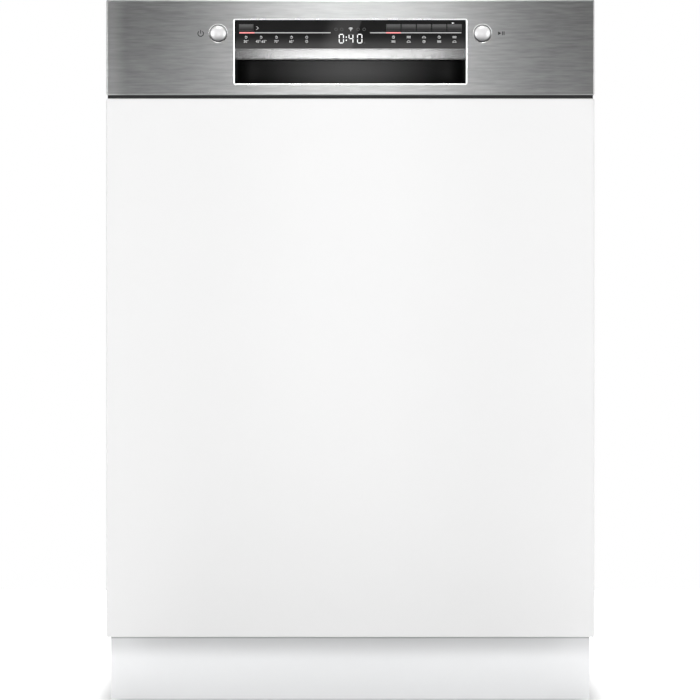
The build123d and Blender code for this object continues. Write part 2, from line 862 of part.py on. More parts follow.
for node, (x, y) in zip(("front_left_foot", "front_right_foot", "rear_foot"), feet_places):
    with BuildPart() as foot:
        upright(x, y, 0.0, foot_pad_height, foot_pad_r)
        upright(x, y, foot_pad_height, foot_stem_top_z, foot_stem_r)
    foot.part.label = node
    export_step(foot.part, f"parts/{node}.step")

spring_r = 9.0
spring_rise = 17.0
spring_setback = 50.0
spring_length = 130.0
spring_z = base_floor_z + spring_rise
spring_front_y = tub_front_y + spring_setback
spring_back_y = spring_front_y + spring_length
spring_wire = 2.0
with BuildPart() as door_springs:
    for side in (-1, 1):
        x = side * (half_base - base_wall - running_gap - spring_r)
        lengthwise(x, spring_z, spring_front_y, spring_back_y, spring_r)
        lengthwise(x, spring_z, spring_front_y, spring_back_y, spring_r - spring_wire, mode=Mode.SUBTRACT)
door_springs.part.label = "door_springs"
export_step(door_springs.part, "parts/door_springs.step")

# ------------------------------------------------------------------ wash system

filter_x = wash_x + filter_dx
filter_y = wash_y + filter_dy
plate_rim_inset = 2.0
filter_flange = 3.0
filter_flange_thickness = 2.0
filter_grip_half = 4.0
filter_grip_drop = 8.0
filter_grip_rise = 4.5
filter_grip_gap = 0.5
post_top_z = lower_arm_z + arm_hub_height - arm_hub_floor - running_gap
well_r = filter_r + sump_wall
sump_top_z = tub_floor_z - sheet
sump_floor_z = sump_top_z - sump_depth
with BuildPart() as sump:
    upright(wash_x, wash_y, sump_top_z - sump_wall, sump_top_z, sump_hole_r + sump_seat)
    upright(wash_x, wash_y, sump_floor_z - sump_wall, sump_top_z, sump_r)
    upright(filter_x, filter_y, filter_bottom_z - 2 * sump_wall, sump_top_z, well_r + sump_wall)
    upright(wash_x, wash_y, sump_floor_z, sump_top_z, sump_r - sump_wall, mode=Mode.SUBTRACT)
    upright(filter_x, filter_y, filter_bottom_z - sump_wall, sump_top_z, well_r, mode=Mode.SUBTRACT)
    upright(wash_x, wash_y, sump_floor_z - sump_wall, post_top_z, post_r)
sump.part.label = "sump"
export_step(sump.part, "parts/sump.step")

with BuildPart() as filter_plate:
    plate_r = sump_hole_r + sump_seat - plate_rim_inset
    plate_top_z = tub_floor_z + filter_plate_thickness
    hole_r = filter_r + insert_gap
    upright(wash_x, wash_y, tub_floor_z, plate_top_z, plate_r)
    upright(wash_x, wash_y, tub_floor_z, plate_top_z, post_r + pin_gap, mode=Mode.SUBTRACT)
    upright(filter_x, filter_y, tub_floor_z, plate_top_z, hole_r, mode=Mode.SUBTRACT)
filter_plate.part.label = "filter_plate"
export_step(filter_plate.part, "parts/filter_plate.step")

filter_rim_z = tub_floor_z + filter_plate_thickness + running_gap
with BuildPart() as filter_cylinder:
    upright(filter_x, filter_y, filter_bottom_z, filter_rim_z, filter_r)
    flange_top_z = filter_rim_z + filter_flange_thickness
    inside_z = filter_bottom_z + filter_wall
    upright(filter_x, filter_y, filter_rim_z, flange_top_z, filter_r + filter_flange)
    upright(filter_x, filter_y, inside_z, flange_top_z, filter_r - filter_wall, mode=Mode.SUBTRACT)
    block(
        (
            filter_x - filter_r + filter_grip_gap,
            filter_y - filter_grip_half,
            filter_rim_z - filter_grip_drop,
        ),
        (
            filter_x + filter_r - filter_grip_gap,
            filter_y + filter_grip_half,
            filter_rim_z + filter_grip_rise,
        ),
    )
filter_cylinder.part.label = "filter_cylinder"
export_step(filter_cylinder.part, "parts/filter_cylinder.step")

for node, low_z, length, stub_r, stub_below in (
    ("lower_spray_arm", lower_arm_z, lower_arm_length, post_r, True),
    ("upper_spray_arm", upper_arm_z, upper_arm_length, pipe_r, False),
    ("top_spray_arm", top_arm_z, top_arm_length, pipe_r, False),
):
    blade_z = low_z if not stub_below else low_z + lower_hub_skirt
    hub_top = low_z + arm_hub_height
    with BuildPart() as spray_arm:
        with BuildSketch(Plane.XY.offset(blade_z)):
            with Locations((wash_x, wash_y)):
                SlotOverall(length, arm_width)
        extrude(amount=arm_thickness)
        fillet(spray_arm.edges().group_by(Axis.Z)[-1], arm_edge_r)
        fillet(spray_arm.edges().group_by(Axis.Z)[0], arm_edge_r)
        upright(wash_x, wash_y, low_z, hub_top, arm_hub_r)
        if stub_below:
            socket_low_z = low_z
            socket_high_z = hub_top - arm_hub_floor
        else:
            socket_low_z = low_z + arm_hub_floor
            socket_high_z = hub_top
        socket_r = stub_r + pin_gap
        upright(wash_x, wash_y, socket_low_z, socket_high_z, socket_r, mode=Mode.SUBTRACT)
    spray_arm.part.label = node
    export_step(spray_arm.part, f"parts/{node}.step")

nozzle_r = 11.0
nozzle_gap = 4.0  # behind the baskets
pipe_bend_r = 12.0
nozzle_front_y = basket_back_y + nozzle_gap
riser_low_z = tub_floor_z + tub_corner_r + running_gap
with BuildPart() as riser_pipe:
    with BuildLine() as riser_path:
        FilletPolyline(
            (wash_x, riser_y, riser_low_z),
            (wash_x, riser_y, ceiling_pipe_z),
            (wash_x, wash_y, ceiling_pipe_z),
            (wash_x, wash_y, top_arm_z + arm_hub_floor + running_gap),
            radius=pipe_bend_r,
        )
    with BuildSketch(Plane.XY.offset(riser_low_z)):
        with Locations((wash_x, riser_y)):
            Circle(pipe_r)
    sweep(path=riser_path.line)
    lengthwise(wash_x, feed_z, nozzle_front_y, riser_y, nozzle_r)
riser_pipe.part.label = "riser_pipe"
export_step(riser_pipe.part, "parts/riser_pipe.step")

feed_end = 3.0  # past the stub
stay_half = 3.0
stay_setback = 20.0
stay_end_gap = 10.0
with BuildPart() as upper_feed_pipe:
    lengthwise(wash_x, feed_z, wash_y - feed_pipe_r - feed_end, nozzle_front_y - running_gap, feed_pipe_r)
    upright(wash_x, wash_y, upper_arm_z + arm_hub_floor + running_gap, feed_z, pipe_r)
    block(
        (wash_x - stay_half, wash_y + stay_setback, feed_z),
        (wash_x + stay_half, basket_back_y - stay_end_gap, upper_floor_z - wire_r - weld_gap),
    )
upper_feed_pipe.part.label = "upper_feed_pipe"
export_step(upper_feed_pipe.part, "parts/upper_feed_pipe.step")

pump_r = 36.0
pump_length = 112.0
pump_lift = 4.0
pump_gap = 2.0
pump_edge_r = 8.0
pump_inlet_r = 12.0
pump_foot_inset = 20.0
pump_foot_half = 20.0
pump_foot_overlap = 6.0
pump_y = wash_y
pump_z = base_floor_z + pump_r + pump_lift
pump_x = sump_hole_r + sump_seat + pump_gap
with BuildPart() as circulation_pump:
    crosswise(pump_y, pump_z, pump_x, pump_x + pump_length, pump_r)
    fillet(circulation_pump.edges().group_by(Axis.X)[-1], pump_edge_r)
    crosswise(pump_y, pump_z, sump_r + insert_gap, pump_x, pump_inlet_r)
    block(
        (pump_x + pump_foot_inset, pump_y - pump_foot_half, base_floor_z),
        (
            pump_x + pump_length - pump_foot_inset,
            pump_y + pump_foot_half,
            pump_z - pump_r + pump_foot_overlap,
        ),
    )
circulation_pump.part.label = "circulation_pump"
export_step(circulation_pump.part, "parts/circulation_pump.step")

drain_pump_dx = -125.0
drain_pump_dy = -100.0
drain_pump_r = 26.0
drain_pump_height = 52.0
drain_pump_edge_r = 4.0
drain_pipe_rise = 30.0
drain_pipe_length = 60.0
drain_pipe_r = 9.0
drain_pump_x = wash_x + drain_pump_dx
drain_pump_y = wash_y + drain_pump_dy
with BuildPart() as drain_pump:
    drain_pump_top_z = base_floor_z + drain_pump_height
    drain_pipe_z = base_floor_z + drain_pipe_rise
    drain_pipe_end_x = drain_pump_x + drain_pipe_length
    upright(drain_pump_x, drain_pump_y, base_floor_z, drain_pump_top_z, drain_pump_r)
    fillet(drain_pump.edges().group_by(Axis.Z)[-1], drain_pump_edge_r)
    crosswise(drain_pump_y, drain_pipe_z, drain_pump_x, drain_pipe_end_x, drain_pipe_r)
drain_pump.part.label = "drain_pump"
export_step(drain_pump.part, "parts/drain_pump.step")

softener_gap = 9.3  # under the tub's floor
softener_left = 90.0
softener_right = 50.0
softener_front = 90.0
softener_back = 55.0
softener_edge_r = 14.0
softener_well = 60.0
salt_neck_rise = 3.0
salt_neck_wall = 3.0
softener_top_z = tub_floor_z - softener_gap
salt_neck_z = tub_floor_z + salt_neck_rise
with BuildPart() as water_softener:
    block(
        (salt_x - softener_left, salt_y - softener_front, base_floor_z),
        (salt_x + softener_right, salt_y + softener_back, softener_top_z),
    )
    fillet(water_softener.edges().filter_by(Axis.Z), softener_edge_r)
    upright(salt_x, salt_y, softener_top_z, salt_neck_z, salt_neck_r)
    neck_bore_r = salt_neck_r - salt_neck_wall
    well_z = softener_top_z - softener_well
    upright(salt_x, salt_y, well_z, salt_neck_z, neck_bore_r, mode=Mode.SUBTRACT)
water_softener.part.label = "water_softener"
export_step(water_softener.part, "parts/water_softener.step")

salt_cap_r = 34.0
salt_cap_height = 8.0
salt_cap_edge_r = 2.0
salt_grip_half = 26.0
salt_grip_half_width = 4.0
salt_grip_height = 8.0
salt_plug_length = 14.0
salt_cap_z = salt_neck_z + running_gap
with BuildPart() as salt_cap:
    cap_top_z = salt_cap_z + salt_cap_height
    upright(salt_x, salt_y, salt_cap_z, cap_top_z, salt_cap_r)
    fillet(salt_cap.edges().group_by(Axis.Z)[-1], salt_cap_edge_r)
    block(
        (salt_x - salt_grip_half, salt_y - salt_grip_half_width, cap_top_z),
        (salt_x + salt_grip_half, salt_y + salt_grip_half_width, cap_top_z + salt_grip_height),
    )
    upright(salt_x, salt_y, salt_cap_z - salt_plug_length, salt_cap_z, neck_bore_r - insert_gap)
salt_cap.part.label = "salt_cap"
export_step(salt_cap.part, "parts/salt_cap.step")

# Water in, waste out and the mains terminal: a body inside the base's back wall, a collar in the
# wall's hole and a bored spigot behind it.
service_body_y = base_back_y - base_wall
collar_back_y = body_back_y + collar_proud


def service(x, radius, end_y, bore_r, bore_y, half_width, half_height, depth):
    """One service fitting, from its body inside the base to the open end of its spigot."""
    block(
        (x - half_width, service_body_y - depth, service_z - half_height),
        (x + half_width, service_body_y, service_z + half_height),
    )
    lengthwise(x, service_z, service_body_y, collar_back_y, radius + service_collar)
    lengthwise(x, service_z, collar_back_y, end_y, radius)
    lengthwise(x, service_z, bore_y, end_y, bore_r, mode=Mode.SUBTRACT)


inlet_wall = 3.5
inlet_bore_depth = 10.0
inlet_body_half = 22.0
inlet_body_half_height = 20.0
inlet_body_depth = 40.0
coil_r = 14.0
coil_length = 4.0
with BuildPart() as inlet_valve:
    service(
        inlet_x,
        inlet_r,
        back_y,
        inlet_r - inlet_wall,
        service_body_y - inlet_bore_depth,
        inlet_body_half,
        inlet_body_half_height,
        inlet_body_depth,
    )
    coil_x = inlet_x - inlet_body_half
    crosswise(service_body_y - inlet_body_depth / 2, service_z, coil_x - coil_length, coil_x, coil_r)
inlet_valve.part.label = "inlet_valve"
export_step(inlet_valve.part, "parts/inlet_valve.step")

drain_wall = 2.0
drain_bore_depth = 20.0
drain_end_gap = 2.0
drain_body_half = 18.0
drain_body_depth = 30.0
with BuildPart() as drain_outlet:
    service(
        drain_x,
        drain_r,
        back_y - drain_end_gap,
        drain_r - drain_wall,
        service_body_y - drain_bore_depth,
        drain_body_half,
        drain_body_half,
        drain_body_depth,
    )
drain_outlet.part.label = "drain_outlet"
export_step(drain_outlet.part, "parts/drain_outlet.step")

mains_bore_r = 4.2
mains_bore_depth = 12.0
mains_end_gap = 5.0
mains_body_half = 28.0
mains_body_half_height = 22.0
mains_body_depth = 34.0
with BuildPart() as mains_terminal:
    service(
        mains_x,
        mains_r,
        back_y - mains_end_gap,
        mains_bore_r,
        service_body_y - mains_bore_depth,
        mains_body_half,
        mains_body_half_height,
        mains_body_depth,
    )
mains_terminal.part.label = "mains_terminal"
export_step(mains_terminal.part, "parts/mains_terminal.step")

# ------------------------------------------------------------------ baskets


def wires_x(places, low_x, high_x, radius):
    """Parallel wires along X at (y, z) places."""
    with BuildSketch(Plane.YZ.offset(low_x)) as ends:
        with Locations(*places):
            Circle(radius)
    extrude(ends.sketch, amount=high_x - low_x)


def wires_y(places, low_y, high_y, radius):
    """Parallel wires along Y at (x, z) places."""
    with BuildSketch(facing_front(high_y)) as ends:
        with Locations(*places):
            Circle(radius)
    extrude(ends.sketch, amount=high_y - low_y)


def wires_z(places, low_z, high_z, radius):
    """Parallel wires along Z at (x, y) places."""
    with BuildSketch(Plane.XY.offset(low_z)) as ends:
        with Locations(*places):
            Circle(radius)
    extrude(ends.sketch, amount=high_z - low_z)


def wire_tray(half, floor_z, rim_z, pitch):
    """Floor, walls and rim of a wire basket, each wire a hair's breadth off the ones it is welded to."""
    reach = wire_r + weld_gap + wire_r
    long_x = steps(-half + side_wire_inset, half - side_wire_inset, pitch)
    cross_y = steps(basket_front_y + end_wire_inset, basket_back_y - end_wire_inset, cross_pitch)
    wires_x([(y, floor_z) for y in cross_y], -half + wire_r, half - wire_r, wire_r)
    wires_y([(x, floor_z + reach) for x in long_x], basket_front_y + wire_r, basket_back_y - wire_r, wire_r)
    wall_x = half + weld_gap
    front = basket_front_y - weld_gap
    back = basket_back_y + weld_gap
    wall_top = rim_z - rim_wire_r - weld_gap
    side_places = [(side * wall_x, y) for side in (-1, 1) for y in cross_y]
    end_places = [(x, y) for y in (front, back) for x in long_x]
    wires_z(side_places + end_places, floor_z - wire_r, wall_top, wire_r)
    wires_x([(front, rim_z), (back, rim_z)], -wall_x - rim_wire_r, wall_x + rim_wire_r, rim_wire_r)
    rim_low = front + rim_wire_r + weld_gap
    rim_high = back - rim_wire_r - weld_gap
    wires_y([(-wall_x, rim_z), (wall_x, rim_z)], rim_low, rim_high, rim_wire_r)
    return long_x


handle_y = basket_front_y - weld_gap - rim_wire_r - weld_gap
clip_height = 2.2
clip_gap = 0.2
lower_long_z = lower_floor_z + 2 * wire_r + weld_gap
tine_base_r = 2.5
tine_z = lower_long_z + wire_r + weld_gap + clip_height + clip_gap + tine_base_r
folding_row_inset = 84.0
fixed_row_pitch = 70.0
tine_row_y = basket_back_y - folding_row_inset
fixed_tine_rows = [tine_row_y - 2 * fixed_row_pitch, tine_row_y - fixed_row_pitch]
tine_side_inset = 72.0
tine_right_x = lower_half - tine_side_inset
tine_left_x = -tine_right_x
tine_bar_end = 8.0
tine_pitch = 38.0
clip_length = 10.0
clip_half = 5.0
carrier_plate_x = 6.0
carrier_half_y = 22.0
carrier_below_axle = 8.0
wheel_side_gap = 2.0
with BuildPart() as lower_basket:
    lower_long_x = wire_tray(lower_half, lower_floor_z, lower_rim_z, lower_long_pitch)
    # Belt wire round the outside, half way up
    belt_z = (lower_floor_z + lower_rim_z) / 2
    belt_off = 2 * wire_r + 2 * weld_gap
    wires_x(
        [(basket_front_y - belt_off, belt_z), (basket_back_y + belt_off, belt_z)],
        -lower_half - belt_off,
        lower_half + belt_off,
        wire_r,
    )
    wires_y(
        [(-lower_half - belt_off, belt_z), (lower_half + belt_off, belt_z)],
        basket_front_y - belt_off + wire_r + weld_gap,
        basket_back_y + belt_off - wire_r - weld_gap,
        wire_r,
    )
    tine_places = [(x, y) for y in fixed_tine_rows for x in lower_long_x[1:-1]]
    wires_z(tine_places, lower_long_z + wire_r + weld_gap, lower_long_z + lower_tine_height, wire_r)
    # Clips that the folding tines turn in
    for x in lower_long_x[2:-2:3]:
        block(
            (x - clip_length / 2, tine_row_y - clip_half, lower_long_z + wire_r + weld_gap),
            (
                x + clip_length / 2,
                tine_row_y + clip_half,
                lower_long_z + wire_r + weld_gap + clip_height,
            ),
        )
    # Pull handle on the front rim
    block(
        (-handle_half, handle_y - handle_thickness, lower_rim_z - handle_below),
        (handle_half, handle_y, lower_rim_z + handle_above),
    )
    # Wheel carriers clipped under the floor, each with its axle
    for side in (-1, 1):
        for y in (front_axle_y, rear_axle_y):
            inner_x = wheel_x - wheel_width / 2 - wheel_side_gap
            low_x, high_x = sorted((side * (inner_x - carrier_plate_x), side * inner_x))
            block(
                (low_x, y - carrier_half_y, axle_z - carrier_below_axle),
                (high_x, y + carrier_half_y, lower_floor_z - wire_r - weld_gap),
            )
            low_x, high_x = sorted((side * inner_x, side * (wheel_x + wheel_width / 2)))
            crosswise(y, axle_z, low_x, high_x, axle_r)
lower_basket.part.label = "lower_basket"
export_step(lower_basket.part, "parts/lower_basket.step")

for node, y in (("front_basket_wheels", front_axle_y), ("rear_basket_wheels", rear_axle_y)):
    with BuildPart() as wheels:
        for side in (-1, 1):
            low_x = side * wheel_x - wheel_width / 2
            high_x = side * wheel_x + wheel_width / 2
            crosswise(y, axle_z, low_x, high_x, wheel_r)
            crosswise(y, axle_z, low_x, high_x, axle_r + pin_gap, mode=Mode.SUBTRACT)
    wheels.part.label = node
    export_step(wheels.part, f"parts/{node}.step")

with BuildPart() as folding_tines:
    wires_x([(tine_row_y, tine_z)], tine_left_x - tine_bar_end, tine_right_x + tine_bar_end, tine_base_r)
    tine_x = steps(tine_left_x, tine_right_x, tine_pitch)
    tine_low_z = tine_z + tine_base_r + weld_gap
    wires_z([(x, tine_row_y) for x in tine_x], tine_low_z, tine_z + lower_tine_height, wire_r)
folding_tines.part.label = "folding_tines"
export_step(folding_tines.part, "parts/folding_tines.step")

cutlery_half = 118.0
cutlery_front_gap = 14.0
cutlery_depth = 76.0
cutlery_height = 125.0
cutlery_cells = 3
cutlery_front_y = basket_front_y + cutlery_front_gap
cutlery_back_y = cutlery_front_y + cutlery_depth
cutlery_low_z = lower_long_z + wire_r + running_gap
cutlery_high_z = cutlery_low_z + cutlery_height
cutlery_wall = 2.2
with BuildPart() as cutlery_basket:
    block((-cutlery_half, cutlery_front_y, cutlery_low_z), (cutlery_half, cutlery_back_y, cutlery_high_z))
    cell = (2 * cutlery_half - (cutlery_cells + 1) * cutlery_wall) / cutlery_cells
    for i in range(cutlery_cells):
        left = -cutlery_half + cutlery_wall + i * (cell + cutlery_wall)
        block(
            (left, cutlery_front_y + cutlery_wall, cutlery_low_z + cutlery_wall),
            (left + cell, cutlery_back_y - cutlery_wall, cutlery_high_z),
            mode=Mode.SUBTRACT,
        )
cutlery_basket.part.label = "cutlery_basket"
export_step(cutlery_basket.part, "parts/cutlery_basket.step")

# Telescopic runners of the upper basket: fixed channel, middle channel, and a bar on the basket.
runner_low_z = rail_z - rail_height / 2
runner_high_z = rail_z + rail_height / 2
middle_low_z = runner_low_z + rail_wall + rail_gap
middle_high_z = runner_high_z - rail_wall - rail_gap
middle_outer_x = half_tub - rail_wall - rail_gap
bar_outer_x = middle_outer_x - rail_wall - rail_gap
bar_inner_x = upper_half + weld_gap + wire_r + clip_gap
with BuildPart() as upper_rails_fixed:
    for side in (-1, 1):
        low_x, high_x = sorted((side * (half_tub - rail_depth), side * half_tub))
        block((low_x, rail_front_y, runner_low_z), (high_x, rail_back_y, runner_high_z))
        low_x, high_x = sorted((side * (half_tub - rail_depth), side * (half_tub - rail_wall)))
        block(
            (low_x, rail_front_y, runner_low_z + rail_wall),
            (high_x, rail_back_y, runner_high_z - rail_wall),
            mode=Mode.SUBTRACT,
        )
upper_rails_fixed.part.label = "upper_rails_fixed"
export_step(upper_rails_fixed.part, "parts/upper_rails_fixed.step")

with BuildPart() as upper_rails_sliding:
    for side in (-1, 1):
        low_x, high_x = sorted((side * (middle_outer_x - rail_depth), side * middle_outer_x))
        block((low_x, rail_front_y, middle_low_z), (high_x, rail_back_y, middle_high_z))
        low_x, high_x = sorted((side * (middle_outer_x - rail_depth), side * (middle_outer_x - rail_wall)))
        block(
            (low_x, rail_front_y, middle_low_z + rail_wall),
            (high_x, rail_back_y, middle_high_z - rail_wall),
            mode=Mode.SUBTRACT,
        )
upper_rails_sliding.part.label = "upper_rails_sliding"
export_step(upper_rails_sliding.part, "parts/upper_rails_sliding.step")

upper_long_z = upper_floor_z + 2 * wire_r + weld_gap
upper_row_inset = 94.0
upper_row_pitch = 80.0
upper_rows = 4
upper_tine_rows = [basket_back_y - upper_row_inset - i * upper_row_pitch for i in range(upper_rows)]
with BuildPart() as upper_basket:
    upper_long_x = wire_tray(upper_half, upper_floor_z, upper_rim_z, upper_long_pitch)
    for side in (-1, 1):
        low_x, high_x = sorted((side * bar_inner_x, side * bar_outer_x))
        block(
            (low_x, rail_front_y + slide_bar_setback, middle_low_z + rail_wall + rail_gap),
            (high_x, rail_back_y, middle_high_z - rail_wall - rail_gap),
        )
    tine_places = [(x, y) for y in upper_tine_rows for x in upper_long_x[3:-2:2]]
    wires_z(tine_places, upper_long_z + wire_r + weld_gap, upper_long_z + upper_tine_height, wire_r)
    block(
        (-handle_half, handle_y - handle_thickness, upper_rim_z - handle_below),
        (handle_half, handle_y, upper_rim_z + handle_above),
    )
upper_basket.part.label = "upper_basket"
export_step(upper_basket.part, "parts/upper_basket.step")

# The cup shelf folds up about a rod along the basket's left wall.
shelf_lift = 86.0  # above the basket's floor
shelf_z = upper_floor_z + shelf_lift
shelf_pin_r = 3.0
shelf_x = -upper_half + weld_gap + wire_r + clip_gap + shelf_pin_r
shelf_width = 92.0
shelf_front_gap = 22.0
shelf_back_gap = 24.0
shelf_front_y = basket_front_y + shelf_front_gap
shelf_back_y = basket_back_y - shelf_back_gap
shelf_thickness = 3.0
with BuildPart() as cup_shelf:
    lengthwise(shelf_x, shelf_z, shelf_front_y, shelf_back_y, shelf_pin_r)
    block(
        (shelf_x, shelf_front_y, shelf_z - shelf_thickness / 2),
        (shelf_x + shelf_width, shelf_back_y, shelf_z + shelf_thickness / 2),
    )
cup_shelf.part.label = "cup_shelf"
export_step(cup_shelf.part, "parts/cup_shelf.step")
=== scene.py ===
# %% [markdown]
# # A built in dishwasher
# The imported model holds every solid of the machine at its real place and size, in metres.
# This lesson dresses it: some solids only get a finish, and others are hidden behind a finer mesh
# that rides on the same moving body. Nothing that is added may stand outside the model's own box.

# %% Load the imported model
import math

import bmesh
import bpy
from mathutils import Matrix, Vector


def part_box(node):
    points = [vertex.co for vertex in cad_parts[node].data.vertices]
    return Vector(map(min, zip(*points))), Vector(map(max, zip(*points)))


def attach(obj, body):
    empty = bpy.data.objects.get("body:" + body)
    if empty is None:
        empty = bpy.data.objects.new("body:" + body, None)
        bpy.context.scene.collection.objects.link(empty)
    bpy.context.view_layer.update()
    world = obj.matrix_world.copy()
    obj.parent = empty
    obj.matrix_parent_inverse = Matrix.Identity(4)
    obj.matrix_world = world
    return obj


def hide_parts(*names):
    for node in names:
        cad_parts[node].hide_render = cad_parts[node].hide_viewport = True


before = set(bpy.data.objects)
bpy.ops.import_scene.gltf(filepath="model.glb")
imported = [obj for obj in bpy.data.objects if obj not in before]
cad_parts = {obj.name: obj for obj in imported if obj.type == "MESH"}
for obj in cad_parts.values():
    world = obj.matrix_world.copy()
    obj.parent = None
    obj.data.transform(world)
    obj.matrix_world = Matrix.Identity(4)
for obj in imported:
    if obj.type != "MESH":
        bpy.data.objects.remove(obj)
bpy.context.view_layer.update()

# %% [markdown]
# ## The camera
# A kitchen machine is usually shown square on and from far away, so that its sides don't open up.
# A long lens does that: the camera stands about four metres off, at half the machine's height.

# %% Camera
stage = bpy.context.scene
lens = bpy.data.cameras.new("front_camera")
lens.sensor_width = 36.0
lens.lens = 163.9
camera = bpy.data.objects.new("front_camera", lens)
camera.location = (-0.0004, -4.1915, 0.4366)
camera.rotation_euler = (math.radians(90), 0, 0)
stage.collection.objects.link(camera)
stage.camera = camera
stage.view_settings.view_transform = "Standard"
print("camera:", [round(v, 3) for v in camera.location])

# %% [markdown]
# ## Writing shaders as sums
# A material is a graph of nodes. Wiring it by hand in code is long, so two small classes help.
# A `Wire` is one output socket, and its sums and products add the Math nodes by themselves.
# A `Shader` fills one node tree. Its `node` method makes any other node and sets its sockets.

# %% Wires and shaders
class Wire:
    """An output socket that can be added, multiplied and subtracted."""

    def __init__(self, shader, socket):
        self.shader = shader
        self.socket = socket

    def __add__(self, other):
        return self.shader.maths("ADD", self, other)

    def __radd__(self, other):
        return self.shader.maths("ADD", other, self)

    def __sub__(self, other):
        return self.shader.maths("SUBTRACT", self, other)

    def __rsub__(self, other):
        return self.shader.maths("SUBTRACT", other, self)

    def __mul__(self, other):
        return self.shader.maths("MULTIPLY", self, other)


class Shader:
    """The node tree of a material or of the world."""

    def __init__(self, owner):
        owner.use_nodes = True
        self.tree = owner.node_tree
        self.tree.nodes.clear()

    def node(self, kind, sockets=None, output=0, **settings):
        made = self.tree.nodes.new("ShaderNode" + kind)
        for name, value in settings.items():
            setattr(made, name, value)
        for name, value in (sockets or {}).items():
            if isinstance(value, Wire):
                self.tree.links.new(value.socket, made.inputs[name])
            else:
                made.inputs[name].default_value = value
        return Wire(self, made.outputs[output]) if made.outputs else None

    def maths(self, operation, first, second):
        return self.node("Math", {0: first, 1: second}, operation=operation)


print("shader tools ready")

# %% [markdown]
# A few patterns cover most real finishes: a cloudy noise, a step from one tone to another and a
# height that tilts the surface a little. They go by the object's own coordinates, in metres.
# A finish is a function that returns the sockets of a Principled shader, and its name becomes
# the material's name.

# %% Patterns shared by the finishes
def grey(level, tint=(1, 1, 1)):
    return (*(level * part for part in tint), 1)


def stretched(shader, cells):
    """Object coordinates, counted in cells to the metre along each axis."""
    place = shader.node("TexCoord", output=3)
    return shader.node("VectorMath", {0: place, 1: cells}, operation="MULTIPLY")


def cloud(shader, cells, detail=2):
    """Noise from 0 to 1, with one count of cells to the metre or one for each axis."""
    cells = (cells,) * 3 if isinstance(cells, (int, float)) else cells
    return shader.node("TexNoise", {"Vector": stretched(shader, cells), "Scale": 1.0,
                                    "Detail": detail})


def tones(shader, mask, first, second):
    """A colour that goes from the first to the second as the mask goes from 0 to 1."""
    return shader.node("Mix", {0: mask, 6: first, 7: second}, output=2, data_type="RGBA")


def bumped(shader, height, distance, strength=1.0):
    return shader.node("Bump", {"Height": height, "Distance": distance, "Strength": strength})


def along(shader, axis):
    """The place along one axis, in metres."""
    place = shader.node("TexCoord", output=3)
    return shader.node("SeparateXYZ", {0: place}, output="XYZ".index(axis))


def rise(shader, value, low, high):
    """0 below low, 1 above high and a smooth step between them."""
    return shader.node("MapRange", {"Value": value, "From Min": low, "From Max": high},
                       interpolation_type="SMOOTHSTEP")


def hill(shader, value, foot, top, other_top, other_foot):
    """1 between the tops, falling to 0 at both feet."""
    return rise(shader, value, foot, top) * (1 - rise(shader, value, other_top, other_foot))


def finish(build, name=None):
    """A new material whose Principled sockets come from build(shader)."""
    material = bpy.data.materials.new(name or build.__name__)
    shader = Shader(material)
    surface = shader.node("BsdfPrincipled", build(shader))
    shader.node("OutputMaterial", {"Surface": surface})
    return material


def even(name, cells, levels, rough, spread, tint=(1, 1, 1), detail=2, bump=None, **others):
    """A finish whose colour and roughness both wander a little with one cloud."""

    def build(shader):
        grain = cloud(shader, cells, detail)
        colours = [grey(level, tint) for level in levels]
        sockets = {"Base Color": tones(shader, grain, *colours), "Roughness": rough + grain * spread}
        if bump:
            sockets["Normal"] = bumped(shader, grain, *bump)
        return sockets | others

    return finish(build, name)


print("patterns ready")

# %% [markdown]
# ## A bright studio
# White goods are shown in a white room. The world is white where the camera looks past the
# machine, but only a faint grey falls on it, so that steel keeps its dark tones, which the steel's
# colour paints in as well. One broad lamp above makes the white door a little brighter at its top,
# two soft boxes stand at the sides, and a small lamp close to the camera lights brushed steel's
# middle, where the steel's colour also carries a painted highlight.

# %% Room and floor
room = bpy.data.worlds.new("studio_room")
stage.world = room
air = Shader(room)
ambient_level = 0.04
lights = [air.node("Background", {"Color": grey(1), "Strength": level})
          for level in (ambient_level, 1.0)]
seen = air.node("LightPath")
mixed = air.node("MixShader", {0: seen, 1: lights[0], 2: lights[1]})
air.node("OutputWorld", {"Surface": mixed})


@finish
def pale_floor(shader):
    patches = cloud(shader, 1.2, detail=3)
    side, depth = along(shader, "X"), along(shader, "Y")
    # Painted shade: the floor's glow is dimmed to a fifth in a patch round the machine.
    near = hill(shader, side, -0.34, -0.28, 0.28, 0.34) * rise(shader, depth, -1.3, -0.6)
    near = near * (1 - rise(shader, depth, 0.2, 0.3))
    return {"Base Color": tones(shader, patches, grey(0.84), grey(0.88)), "Roughness": 0.7,
            "Specular IOR Level": 0.2, "Emission Strength": 0.95,
            "Emission Color": tones(shader, near, grey(1), grey(0.2))}


floor_half, floor_back = 3.2, 1.6
corners = [(-1, -floor_half), (1, -floor_half), (1, floor_back), (-1, floor_back)]
floor_mesh = bpy.data.meshes.new("studio_floor")
floor_mesh.from_pydata([(x * floor_half, y, 0) for x, y in corners], [], [(0, 1, 2, 3)])
floor_mesh.materials.append(pale_floor)
studio_floor = bpy.data.objects.new("studio_floor", floor_mesh)
stage.collection.objects.link(studio_floor)
print("room and floor ready")

# %% [markdown]
# The lamps are rectangles, as a studio's soft boxes are, and each is turned towards a point of the
# machine. A broad lamp gives a soft edge to every highlight, which lacquer and steel both need.

